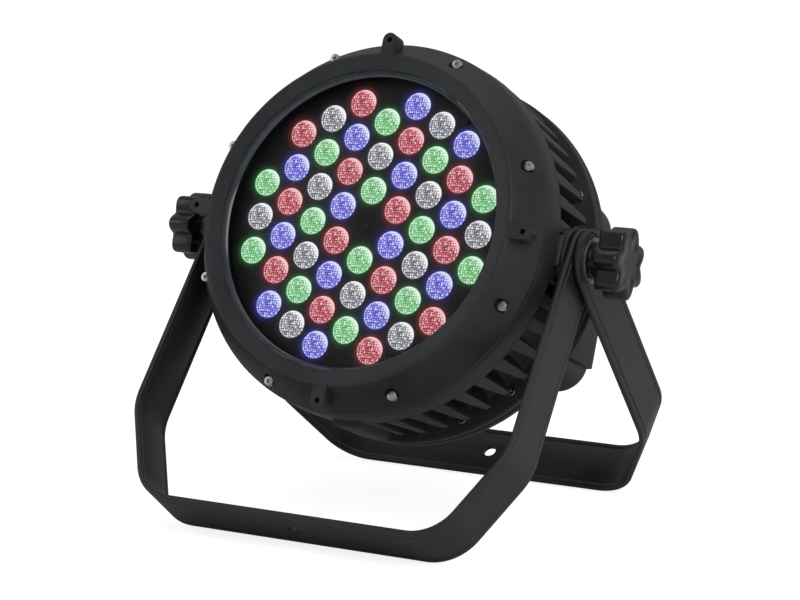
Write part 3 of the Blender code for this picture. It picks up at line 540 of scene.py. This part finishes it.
front = copies(socket_screw(3.5, 4.0, 1.73, 2.2, 18, 2.0),
               [around(a, SCREW_CIRCLE) @ Matrix.Translation((0, -5.3 * MM, 0))
                @ Matrix.Rotation(a * 1.7, 4, "Y") for a in SCREW_ANGLES])
for number, piece in enumerate(front, 1):
    moved(piece, HEAD).name = f"ring_screw_{number}"
    fitted(piece, "head", STAINLESS, "stainless", f"bezel_screw_{number}")
RIM_ANGLES, RIM_CIRCLE = (26, 64, 116, 154, -135, -109, -86, -64, -45), 126.5
rims = copies(socket_screw(2.75, 2.6, 1.3, 1.4, 12, 1.5),
              [around(a, RIM_CIRCLE) @ Matrix.Translation((0, 90.1 * MM, 0))
               @ Matrix.Rotation(a, 4, "Y") for a in RIM_ANGLES])
for number, piece in enumerate(rims, 1):
    moved(piece, HEAD).name = f"flange_screw_{number}"
    fitted(piece, "head", STAINLESS, "stainless", f"rim_screw_{number}")
LENS_PITCH = 25.0
MASK_CIRCLE = 3.95 * LENS_PITCH
MASK_SCREWS = [(0.0, 0.0)] + [(MASK_CIRCLE * math.cos(math.radians(a)),
                               MASK_CIRCLE * math.sin(math.radians(a))) for a in (52, 172, 292)]


def cross_screw():
    head = rod("screw", (0, 0, 0), 2.6, 0.9, 32)
    bevelled(head, 0.35 * MM, 3, 60)
    for size in ((3.2, 1.4, 0.6), (0.6, 1.4, 3.2)):
        cut(head, block("slot", (0, 0, 0), size))
    return smooth(joined("screw", [head, rod("shank", (0, 0.8, 0), 1.25, 12, 20)]), 35)


small = copies(cross_screw(), [Matrix.Translation((x * MM, 0, z * MM))
                               @ Matrix.Rotation(0.4 + x, 4, "Y") for x, z in MASK_SCREWS])
for number, piece in enumerate(small, 1):
    moved(piece, HEAD).name = f"plate_screw_{number}"
    fitted(piece, "head", BLACKED, "stainless", f"mask_screw_{number}")
moved(ring, HEAD)

# %% [markdown]
# ## Lens face
# Fifty-four lenses look through a black plate. They stand on a triangular grid, in columns that
# are in turn white with green and blue with red, so a lens's place gives its colour. The plate is a fine
# grid cut to a circle, because the painted glow that fades round each hole needs points to hold it.

# %% Where the lenses stand

PLATE_R, LENS_R = 108.7, 9.7
HALO_REACH, HALO_FADE = 7.0, 1.5


def lens_list():
    places = []
    for column in range(-4, 5):
        rows = 9 - abs(column)
        for row in range(rows):
            step = row - (rows - 1) / 2
            at_corner = abs(column) in (0, 4) and row in (0, rows - 1)
            if at_corner or (column == 0 and step == 0):
                continue
            turn = round(step + column / 2) % 2
            colour = (("white", "green"), ("blue", "red"))[column % 2][turn]
            places.append((column * LENS_PITCH * math.sqrt(3) / 2, step * LENS_PITCH, colour))
    return places


LENSES = lens_list()
print(len(LENSES), "lenses", {c: sum(1 for p in LENSES if p[2] == c) for c in LIGHTS})

# %% Black plate with its holes


def plate():
    rest()
    bpy.ops.mesh.primitive_grid_add(x_subdivisions=124, y_subdivisions=124,
                                    size=2.1 * PLATE_R * MM, location=(0, 1.2 * MM, 0), rotation=(math.pi / 2, 0, 0))
    bpy.ops.object.mode_set(mode="EDIT")
    made = named("lens_plate")
    modify(made, "SOLIDIFY", thickness=1.5 * MM, offset=-1)
    cut(made, rod("plate_rim", (0, -1, 0), PLATE_R, 6, 160), "INTERSECT")
    holes = [rod("hole", (x, -2, z), 10.0, 8, 44) for x, z, _ in LENSES]
    return cut(made, joined("holes", holes))


def stray_light(made):
    """Light that leaks round each lens, kept as a colour on the points of the plate."""
    layer = made.data.color_attributes.new("stray_light", "FLOAT_COLOR", "POINT")
    for vertex, entry in zip(made.data.vertices, layer.data):
        total = Vector((0.0, 0.0, 0.0))
        for x, z, colour in LENSES:
            gap = math.hypot(vertex.co.x / MM - x, vertex.co.z / MM - z) - 9.8
            if gap < HALO_REACH:
                # the glow leans to the upper left, away from the side that the lens tips to
                lean = 1 - 0.45 * ((vertex.co.x / MM - x) - (vertex.co.z / MM - z) * 0.4) / 14
                total += Vector(STRAY[colour]) * lean * math.exp(-max(gap, 0.0) / HALO_FADE)
        entry.color = (*total, 1.0)


mask = plate()
stray_light(mask)
fitted(moved(smooth(mask, 30), HEAD), "head", MASK, "mask_black", "lens_mask_plate")

# %% [markdown]
# One lens is a low dome in a thin rim, spun from an outline. Its pebbles are real: the top is
# pushed in and out by a pattern of cells before the copies are made. Three such lenses are made,
# each turned by its own amount before its pebbles, and the copies take them in turn.

# %% Lenses

DOME = [(0, 0.15), (2.4, 0.17), (4.6, 0.27), (6.4, 0.45), (7.8, 0.68), (8.8, 0.95), (9.25, 1.25),
        (9.3, 0.75), (9.65, 0.75), (9.7, 1.0), (9.7, 3.4), (0, 3.4)]


def lens(turn):
    made = spun("lens", DOME, 48)
    modify(made, "SUBSURF", levels=1, render_levels=1)
    cells = bpy.data.textures.get("pebbles") or bpy.data.textures.new("pebbles", "VORONOI")
    cells.noise_scale = 1.5 * MM
    top = made.vertex_groups.new(name="top")
    top.add([v.index for v in made.data.vertices if v.co.y < 1.1 * MM
             and v.co.xz.length < 9.2 * MM], 1.0, "REPLACE")
    made.data.transform(Matrix.Rotation(turn, 4, "Y"))
    modify(made, "DISPLACE", texture=cells, strength=0.4 * MM, mid_level=0.5, direction="Y",
           vertex_group="top", texture_coords="LOCAL")
    made.vertex_groups.clear()
    face = made.data.uv_layers.new(name="face")
    for loop in made.data.loops:
        spot = made.data.vertices[loop.vertex_index].co / (LENS_R * MM)
        face.data[loop.index].uv = (spot.x, spot.z)
    return smooth(made, 50)


pattern = [lens(0.9 * k) for k in range(3)]
for colour, glow in LIGHTS.items():
    group = []
    for number, (x, z, tint) in enumerate(LENSES):
        if tint != colour:
            continue
        pick(pattern[number % 3])
        bpy.ops.object.duplicate(linked=False)
        group.append(moved(bpy.context.object, Matrix.Translation((x * MM, 0, z * MM))))
    piece = moved(joined(f"lenses_{colour}", group), HEAD)
    fitted(piece, "head", glow, "lens_clear", "lens_array")
rest()
for piece in pattern:
    bpy.data.objects.remove(piece)

# %% [markdown]
# The front glass is a disc with ground edges that lies behind the lip of the ring on its seal. The
# seal is spun too: a flat washer in the joint, with a soft glossy bead that fills the corner.

# %% Front glass

PANE = [(0, -10.5), (113.0, -10.5), (113.0, -7.5), (0, -7.5)]
pane = smooth(bevelled(spun("front_pane", PANE, 160), 0.4 * MM, 2, 60), 40)
fitted(moved(pane, HEAD), "head", GLASS, "clear_glass", "front_glass")
BEAD_LINE = [(106.9, -15.4), (106.9, -11.5), (113.0, -11.5), (113.0, -10.8), (103.8, -10.65),
             (104.6, -11.3), (105.6, -12.4), (106.4, -13.9)]
bead = smooth(spun("front_seal", BEAD_LINE, 160), 35)
fitted(moved(bead, HEAD), "head", BEAD, "seal_rubber", "glass_gasket")

# %% [markdown]
# ## Housing
# Behind the ring a plain band runs into forty-eight cooling fins that taper to round ends, with
# dark slots between them, and a flange closes the back. The core is spun. One fin is a block
# whose back end is narrowed and lowered, then its edges are rounded, and it is copied round.

# %% Drum, band and flange

FINS, FIN_SHARE = 48, 0.53

CORE = [(109, 9.3), (133.5, 9.3), (133.8, 10.4), (134.8, 27.2), (134.4, 28.0), (113.2, 28.3),
        (113.0, 29.0), (117.6, 88.0), (118.6, 91.0), (121.0, 92.6), (134.2, 93.0), (135.0, 93.8),
        (135.0, 98.4), (134.4, 99.0), (105, 99.0), (105, 21.0), (109, 21.0)]
core = spun("cooling_housing", CORE, 192)
core = bevelled(core, 0.5 * MM, 2, 35)


def fin():
    """Wide and full height at the band, narrow and lower at the back, with a rounded end."""
    half = 2 * math.pi * 134 / FINS * FIN_SHARE / 2
    rest()
    bpy.ops.mesh.primitive_cube_add(size=1, location=(122.5 * MM, 27.5 * MM, 0))
    bpy.ops.object.mode_set(mode="EDIT")
    middle_at = Vector((122.5, 27.5, 0)) * MM
    bpy.ops.transform.resize(value=(24.6 * MM, 3.0 * MM, 2 * half * MM), center_override=middle_at)
    made = bpy.context.object
    bpy.ops.mesh.select_all(action="DESELECT")
    bpy.ops.mesh.select_mode(type="FACE")
    mesh = bmesh.from_edit_mesh(made.data)
    for face in mesh.faces:
        face.select_set(face.normal.y > 0.9)
    bmesh.update_edit_mesh(made.data)
    for step, narrow, drop in ((24.0, 0.76, -1.0), (24.0, 0.68, -1.1), (2.2, 0.9, -0.5),
                               (1.6, 0.78, -0.8), (1.0, 0.55, -1.1)):
        bpy.ops.mesh.extrude_region_move(
            TRANSFORM_OT_translate={"value": (drop * MM, step * MM, 0)})
        bpy.ops.transform.resize(value=(1, 1, narrow), center_override=(0.12, 0, 0))
    bpy.ops.mesh.select_mode(type="VERT")
    closed_up()
    return smooth(bevelled(named("fin"), 0.6 * MM, 3, 50), 45)


fins = copies(fin(), [around(360 / FINS * k) for k in range(FINS)])

# %% [markdown]
# Four square lugs stand among the fins at the quarters, and the two at the sides carry the round
# pivot bosses. Cubes and rods with bevelled edges make them. They run into the drum, as cast.

# %% Lugs and pivot bosses
lug = bevelled(block("lug", (122, 50.25, 0), (31, 47.5, 22)), 1.6 * MM, 3)
lugs = copies(lug, [around(90 * k) for k in range(4)])


def boss(side):
    rest()
    bpy.ops.mesh.primitive_cylinder_add(vertices=72, radius=21 * MM, depth=28 * MM,
                                        location=(side * 125.6 * MM, 50 * MM, 0),
                                        rotation=(0, math.pi / 2, 0))
    bpy.ops.object.mode_set(mode="EDIT")
    return bevelled(named("boss"), 0.8 * MM, 3, 60)


bosses = [boss(side) for side in (-1, 1)]
housing = joined("cooling_housing", [core] + fins + lugs + bosses)
fitted(moved(smooth(housing, 35), HEAD), "head", CAST, "cast_black", "main_housing")

# %% [markdown]
# ## Rear cover
# The cover is a domed casting with a squarish driver box on its back. The dome is spun. The box
# is a cube whose upright edges are rounded strongly and whose back edges more gently. Guessed
# from how such lights are built, since it faces away.

# %% Rear cover

DOME_LINE = [(105, 100.8), (134.4, 100.8), (135.0, 101.4), (135.0, 106.2), (134.4, 106.8),
             (130.0, 107.3), (129.2, 113), (127.6, 119), (125.2, 125), (122.1, 130.6),
             (118.6, 135.4), (114.0, 138.2), (106, 138.9), (0, 138.9), (0, 134), (100, 134),
             (105, 129)]
dome = smooth(bevelled(spun("rear_cover", DOME_LINE, 160), 0.6 * MM, 2, 40), 35)


def driver_box():
    """A cube with its four long edges rounded, drawn in at the back and rounded there too."""
    rest()
    centre = Vector((0, 164.8, 0)) * MM
    bpy.ops.mesh.primitive_cube_add(size=1, location=centre)
    bpy.ops.object.mode_set(mode="EDIT")
    bpy.ops.transform.resize(value=(212 * MM, 60 * MM, 149 * MM), center_override=centre)
    made = bpy.context.object
    mesh = bmesh.from_edit_mesh(made.data)
    for edge in mesh.edges:
        a, b = (v.co for v in edge.verts)
        edge.select_set(abs(a.y - b.y) > abs(a.x - b.x) + abs(a.z - b.z))
    bmesh.update_edit_mesh(made.data)
    bpy.ops.mesh.bevel(offset=23 * MM, segments=12, affect="EDGES")
    bpy.ops.mesh.select_all(action="DESELECT")
    mesh = bmesh.from_edit_mesh(made.data)
    back = max(v.co.y for v in mesh.verts)
    for face in mesh.faces:
        face.select_set(all(v.co.y > back - MM for v in face.verts))
    bmesh.update_edit_mesh(made.data)
    bpy.ops.transform.resize(value=(0.955, 1, 0.94), center_override=centre)
    bpy.ops.mesh.region_to_loop()
    bpy.ops.mesh.bevel(offset=16 * MM, segments=8, affect="EDGES")
    closed_up()
    return smooth(named("driver_box"), 35)


box = driver_box()
cut(box, block("window_seat", (0, 194.8, 19), (50.6, 4.4, 22.6)))
BUTTON_X = [-25.5, -8.5, 8.5, 25.5]
for x in BUTTON_X:
    cut(box, rod("key_hole", (x, 188, -8), 4.85, 10, 32))
cover = joined("rear_cover", [dome, box])
fitted(moved(cover, HEAD), "head", CAST, "cast_black", "rear_shell")

# %% [markdown]
# Seals, boards and the power supply keep their plain working shape. They are
# hidden or a thin dark line, so they only need their finish.

# %% Finishes for the plain pieces

PLAIN = {"housing_gasket": SEAL, "rear_gasket": SEAL, "led_board": BOARD,
         "control_board": GREEN, "power_supply": ZINC}
for node, made in PLAIN.items():
    CAD[node].data.materials.clear()
    CAD[node].data.materials.append(made)
print("finished in place", sorted(PLAIN))

# %% [markdown]
# ## Controls on the back
# A smoked window over the display, four rubber keys, two sealed cable glands, a breather that
# lets the housing equalise its pressure, and a forged ring for the safety cable.

# %% Window, keys and glands

window = bevelled(block("display_pane", (0, 193.6, 19), (50, 3, 22)), 0.6 * MM, 3)
fitted(moved(smooth(window), HEAD), "head", WINDOW, "window_smoke", "display_window")
KEY_LINE = [(0, 191.0), (4.5, 191.0), (4.5, 195.9), (4.2, 196.55), (3.4, 196.9), (2.2, 196.75),
            (0, 196.65)]
for key, x in zip(("menu", "down", "up", "enter"), BUTTON_X):
    piece = moved(spun("key", KEY_LINE, 48), Matrix.Translation((x * MM, 0, -8 * MM)))
    piece = moved(smooth(bevelled(piece, 0.15 * MM, 2, 40)), HEAD)
    piece.name = f"{key}_cap"
    fitted(piece, f"{key}_key", KEY, "key_rubber", f"{key}_button")

GLAND = [(0, 192), (7, 192), (7, 195.1), (9.0, 195.1), (9.0, 202.2), (9.4, 202.6), (9.4, 209.6),
         (9.0, 210.4), (7.6, 213.0), (6.6, 214.7), (6.0, 215.1), (3.6, 215.1), (3.6, 212.1),
         (0, 212.1)]


def gland():
    """A hexagon nut under a domed cap with grip ribs, its cord entry plugged."""
    body = smooth(bevelled(spun("gland", GLAND, 64), 0.25 * MM, 2, 40), 35)
    nut = bevelled(rod("nut", (0, 195.1, 0), 12, 6, 6), 0.7 * MM, 3, 50)
    rib = bevelled(block("rib", (9.35, 206.2, 0), (0.9, 6.6, 1.1)), 0.25 * MM, 2)
    ribs = copies(rib, [around(20 * k) for k in range(18)])
    return joined("gland", [body, smooth(nut, 30)] + ribs)


for side, x in (("in", -32), ("out", 32)):
    piece = moved(gland(), Matrix.Translation((x * MM, 0, -35 * MM)))
    piece = moved(piece, HEAD)
    piece.name = f"gland_{side}"
    fitted(piece, "head", NYLON, "gland_nylon", f"power_{side}_gland")

# %% Breather and safety ring
VENT_LINE = [(0, 192), (3, 192), (3, 195.1), (7, 195.1), (7, 199.2), (6.2, 200.1), (2.2, 200.1),
             (2.0, 199.2), (0, 199.2)]
vent = smooth(bevelled(spun("breather", VENT_LINE, 48), 0.2 * MM, 2, 40), 35)
for k in range(6):
    cut(vent, moved(block("flat", (7.4, 198.4, 0), (0.8, 2.6, 2.6)), around(60 * k)))
vent = moved(vent, Matrix.Translation((0, 0, -35 * MM)))
fitted(moved(vent, HEAD), "head", ZINC, "zinc_steel", "breather_vent")


def safety_ring():
    rest()
    bpy.ops.mesh.primitive_torus_add(major_radius=11 * MM, minor_radius=3 * MM, major_segments=72,
                                     minor_segments=24, rotation=(0, math.pi / 2, 0),
                                     location=(0, 209.1 * MM, 0))
    bpy.ops.object.mode_set(mode="EDIT")
    hoop = named("hoop")
    foot = bevelled(rod("foot", (0, 195.1, 0), 7, 4.2, 48, 6.2), 0.5 * MM, 3, 50)
    pin = rod("pin", (0, 189, 0), 3, 7, 24)
    return smooth(joined("safety_ring", [hoop, foot, pin]), 35)


ring_piece = moved(safety_ring(), Matrix.Translation((0, 0, 41 * MM)))
fitted(moved(ring_piece, HEAD), "head", ZINC, "zinc_steel", "safety_eye")

# %% [markdown]
# ## Yokes
# Each yoke is a flat strap bent to a U, with a shallow pressed line near both edges. The strap's
# cut end is drawn once, extruded along the straight runs and spun round the centre of each bend,
# as a bender turns it. At the ears the section is narrowed step by step to a half circle.

# %% Strap section

STRAP_W, STRAP_T = 43.0, 4.0


def section():
    """Half of the outline of the cut end: (across, out) with a pressed line near the edge."""
    w, t = STRAP_W / 2, STRAP_T / 2
    top = [(0, t), (w - 7.0, t), (w - 6.3, t), (w - 5.8, t - 0.7), (w - 5.4, t - 0.9),
           (w - 4.9, t - 0.9), (w - 4.5, t - 0.7), (w - 4.0, t), (w - 3.4, t), (w - 1.5, t),
           (w - 0.7, t - 0.25),
           (w - 0.2, t - 0.8), (w, t - 1.5)]
    low = [(w, -t + 1.5), (w - 0.2, -t + 0.8), (w - 0.7, -t + 0.25), (w - 1.5, -t),
           (w - 4.2, -t), (w - 4.8, -t + 0.22), (w - 5.4, -t), (0, -t)]
    return top + low


HALF = section()
OUTLINE = HALF + [(-a, b) for a, b in reversed(HALF[1:-1])]
print("strap section of", len(OUTLINE), "points")

# %% Bend a strap


def strap(name, ear_x, reach):
    """Drawn hanging straight down from the axis: Y across the strap, X outwards at the ear."""
    flare, shoulder, narrow = 3.5, reach - 68.0, 33.0
    rest()
    bpy.ops.mesh.primitive_circle_add(vertices=len(OUTLINE), radius=MM, fill_type="NGON",
                                      location=(ear_x * MM, 0, 0))
    bpy.ops.object.mode_set(mode="EDIT")
    made = bpy.context.object
    mesh = bmesh.from_edit_mesh(made.data)
    mesh.verts.ensure_lookup_table()
    order = sorted(mesh.verts, key=lambda v: math.atan2(v.co.y, v.co.x))
    for vertex, (across, out) in zip(order, OUTLINE):
        vertex.co = (out * MM, across * MM, 0)
    bmesh.update_edit_mesh(made.data)
    bpy.ops.mesh.select_all(action="SELECT")
    at = Vector((ear_x, 0.0, 0.0))
    heading = Vector((0, 0, -1))

    def run(length):
        nonlocal at
        bpy.ops.mesh.extrude_region_move(
            TRANSFORM_OT_translate={"value": heading * length * MM})
        at = at + heading * length

    def bend(radius, target, inward=True):
        """Spin the end face about the bend's centre until it points along target."""
        nonlocal at, heading
        swing = heading.angle(target)
        turn_axis = heading.cross(target).normalized()
        side = turn_axis.cross(heading).normalized()
        centre = at + side * radius
        steps = max(3, round(math.degrees(swing) / 4.5))
        bpy.ops.mesh.spin(steps=steps, angle=swing, center=centre * MM, axis=-turn_axis,
                          use_auto_merge=False)
        at = centre + Matrix.Rotation(swing, 3, turn_axis) @ (at - centre)
        heading = target.normalized()

    # corners of the path, then the runs between the tangent points of its bends
    arm = Vector((ear_x + flare, 0, -shoulder))
    foot = Vector((ear_x + flare - narrow, 0, -reach))
    corners = [(Vector((ear_x, 0, -24.0)), 60.0), (arm, 42.0), (foot, 34.0),
               (Vector((-foot.x, 0, foot.z)), 34.0), (Vector((-arm.x, 0, arm.z)), 42.0),
               (Vector((-ear_x, 0, -24.0)), 60.0)]
    points = [Vector((ear_x, 0, 0))] + [c for c, _ in corners] + [Vector((-ear_x, 0, 0))]
    for (corner, radius), after in zip(corners, points[2:]):
        target = (after - corner).normalized()
        back_off = radius * math.tan(heading.angle(target) / 2)
        run((corner - at).dot(heading) - back_off)
        bend(radius, target)
    run((points[-1] - at).dot(heading))
    return made


def rounded_ears(made, ear_x):
    """Both ends run on past the axis and narrow to a half circle."""
    for side in (-1, 1):
        bpy.ops.mesh.select_mode(type="FACE")
        bpy.ops.mesh.select_all(action="DESELECT")
        mesh = bmesh.from_edit_mesh(made.data)
        for face in mesh.faces:
            flat = all(abs(v.co.z) < 1e-6 for v in face.verts)
            face.select_set(flat and side * face.calc_center_median().x > 0)
        bmesh.update_edit_mesh(made.data)
        half, before, width = STRAP_W / 2, 0.0, 1.0
        for degrees in (12, 24, 36, 47, 57, 66, 74, 81, 86):
            rise = half * math.sin(math.radians(degrees))
            share = math.cos(math.radians(degrees))
            bpy.ops.mesh.extrude_region_move(
                TRANSFORM_OT_translate={"value": (0, 0, (rise - before) * MM)})
            bpy.ops.transform.resize(value=(1, share / width, 1),
                                     center_override=(side * ear_x * MM, 0, rise * MM))
            before, width = rise, share
    bpy.ops.mesh.select_mode(type="VERT")
    closed_up()


def yoke(name, ear_x, reach, lean, body, node):
    made = strap(name, ear_x, reach)
    rounded_ears(made, ear_x)
    made = named(name)
    hole = rod("bolt_hole", (0, 0, 0), 5, 16, 48)
    moved(hole, Matrix.Translation((0, 0, -(reach - 8) * MM))
          @ Matrix.Rotation(-math.pi / 2, 4, "X"))
    cut(made, hole)
    place = Matrix.Translation(AXIS) @ Matrix.Rotation(lean, 4, "X")
    return fitted(moved(smooth(made, 40), place), body, STRAP, "strap_black", node)


FRONT_LEAN, REAR_LEAN = -0.650135, 0.715727
front_yoke = yoke("front_strap", 143.4, 225.0, FRONT_LEAN, "front_yoke_stand", "front_yoke")
rear_yoke = yoke("rear_strap", 149.2, 236.0, REAR_LEAN, "rear_yoke_stand", "rear_yoke")

# %% [markdown]
# ## Clamps
# A star knob with seven lobes tightens on a stud through both ears. Its outline is a circle whose
# points are pulled out and in, extruded in steps that round the edges over, with a turned hub
# behind it. The washers keep their working
# shape and only get a finish.

# %% Washers

for name, made in (("boss_washer", SEAL), ("ear_washer", SEAL), ("clamp_washer", ZINC)):
    for side in ("left", "right"):
        node = CAD[f"{name}_{side}"]
        node.data.materials.clear()
        node.data.materials.append(made)
        print(node.name, made.name)

# %% Star knob

KNOB_LOBES, KNOB_TURN = 7, math.radians(12)
KNOB_R, KNOB_VALLEY, KNOB_HUB = 25.5, 19.5, 13.0

def lobed(angle, share):
    """Radius of the knob's outline: round lobes, wider hollows between them."""
    wave = 0.5 + 0.5 * math.cos(KNOB_LOBES * (angle - KNOB_TURN))
    return (KNOB_VALLEY + (KNOB_R - KNOB_VALLEY) * wave ** 0.8) * share


def knob(side):
    """Drawn with its hub at x = 0 and its outer face towards +X."""
    rest()
    bpy.ops.mesh.primitive_circle_add(vertices=196, radius=20 * MM, fill_type="NGON",
                                      location=(8.6 * MM, 0, 0), rotation=(0, math.pi / 2, 0))
    bpy.ops.object.mode_set(mode="EDIT")
    bpy.ops.object.mode_set(mode="OBJECT")
    made = bpy.context.object
    bpy.ops.object.transform_apply(location=True, rotation=True, scale=True)
    for vertex in made.data.vertices:
        angle = math.atan2(vertex.co.z, vertex.co.y)
        radius = lobed(angle, 0.955) * MM
        vertex.co.y, vertex.co.z = radius * math.cos(angle), radius * math.sin(angle)
    bpy.ops.object.mode_set(mode="EDIT")
    bpy.ops.mesh.select_all(action="SELECT")
    steps = ((0.35, 1.022), (0.55, 1.012), (0.8, 1.008), (2.4, 1.004), (10.5, 0.996), (1.1, 0.992),
             (0.9, 0.982), (0.7, 0.965), (0.45, 0.94), (0.15, 0.93))
    at = 8.6
    for step, share in steps:
        bpy.ops.mesh.extrude_region_move(TRANSFORM_OT_translate={"value": (step * MM, 0, 0)})
        at += step
        bpy.ops.transform.resize(value=(1, share, share), center_override=(at * MM, 0, 0))
    for step, share in ((0.0, 0.93), (0.0, 0.86), (-0.25, 0.96), (0.0, 0.6), (0.0, 0.3)):
        bpy.ops.mesh.extrude_region_move(TRANSFORM_OT_translate={"value": (step * MM, 0, 0)})
        bpy.ops.transform.resize(value=(1, share, share), center_override=(at * MM, 0, 0))
    closed_up()
    star = smooth(named("star"), 40)
    rest()
    bpy.ops.mesh.primitive_cylinder_add(vertices=64, radius=KNOB_HUB * MM, depth=9.4 * MM,
                                        location=(4.7 * MM, 0, 0), rotation=(0, math.pi / 2, 0))
    bpy.ops.object.mode_set(mode="EDIT")
    hub = smooth(bevelled(named("hub"), 0.7 * MM, 3, 50), 35)
    made = joined("knob", [star, hub])
    place = Matrix.Translation(AXIS + Vector((side * 153.4 * MM, 0, 0)))
    if side < 0:
        place = (place @ Matrix.Rotation(math.pi, 4, "Y")
                 @ Matrix.Rotation(2 * KNOB_TURN, 4, "X"))
    return moved(made, place)


for side, name in ((-1, "left"), (1, "right")):
    piece = knob(side)
    piece.name = f"star_grip_{name}"
    fitted(piece, f"star_knob_{name}", KNOB, "knob_plastic", f"knob_{name}")
    stud = CAD[f"knob_stud_{name}"]
    stud.data.materials.clear()
    stud.data.materials.append(ZINC)

# %% [markdown]
# ## Studio
# A wide pale floor under a pale background, a big soft light high on the right, a weaker one
# on the left and a soft one overhead. The camera is a long lens at a little above the light's
# height.

# %% Floor and lights


def studio():
    rest()
    bpy.ops.mesh.primitive_plane_add(size=1)
    bpy.ops.object.mode_set(mode="EDIT")
    bpy.ops.transform.resize(value=(60, 60, 1))
    floor = named("studio_floor")
    made = finish("pale_floor", lambda w: {
        "Base Color": w.noise(3, 2).blend((0.90, 0.90, 0.90, 1), (0.94, 0.94, 0.94, 1)),
        "Emission Color": w.node("LightPath", {}, {}).blend((0, 0, 0, 1), (1, 1, 1, 1)),
        "Roughness": 0.6 + w.noise(40, 2) * 0.1}, Emission_Strength=0.8)
    floor.data.materials.append(made)
    world = bpy.data.worlds.new("pale_room")
    bpy.context.scene.world = world
    world.use_nodes = True
    world.node_tree.nodes["Background"].inputs["Color"].default_value = (1.0, 1.0, 1.0, 1)
    seen = Wire(world.node_tree).node("LightPath", {}, {})
    world.node_tree.links.new((0.3 + seen * 0.7).socket,
                              world.node_tree.nodes["Background"].inputs["Strength"])
    return floor


def lamp(name, at, aim, size, power, tint=(1, 1, 1)):
    light = bpy.data.lights.new(name, "AREA")
    light.shape, light.size, light.size_y = "RECTANGLE", size[0], size[1]
    light.energy, light.color = power, tint
    piece = bpy.data.objects.new(name, light)
    bpy.context.scene.collection.objects.link(piece)
    piece.location = at
    piece.rotation_euler = (Vector(aim) - Vector(at)).to_track_quat("-Z", "Y").to_euler()
    return piece


studio()
lamp("key_right", (1.5, -1.1, 1.3), (0, 0, 0.18), (1.0, 1.2), 10)
lamp("fill_left", (-1.6, -1.2, 1.0), (0, 0, 0.2), (1.0, 1.4), 3.5, (0.93, 0.96, 1.0))
lamp("top_soft", (0.1, 0.3, 2.0), (0, 0, 0.2), (1.6, 1.6), 3.4)
print("lights set")

# %% Camera
bpy.context.scene.view_settings.view_transform = "Standard"
camera = bpy.data.cameras.new("studio_camera")
camera.sensor_width, camera.lens = 36.0, 113.98
viewer = bpy.data.objects.new("studio_camera", camera)
bpy.context.scene.collection.objects.link(viewer)
viewer.location = (0.858, -1.5746, 0.4178)
viewer.rotation_euler = [math.radians(v) for v in (81.560, -1.092, 28.852)]
bpy.context.scene.camera = viewer

# %% Leave nothing selected
rest()
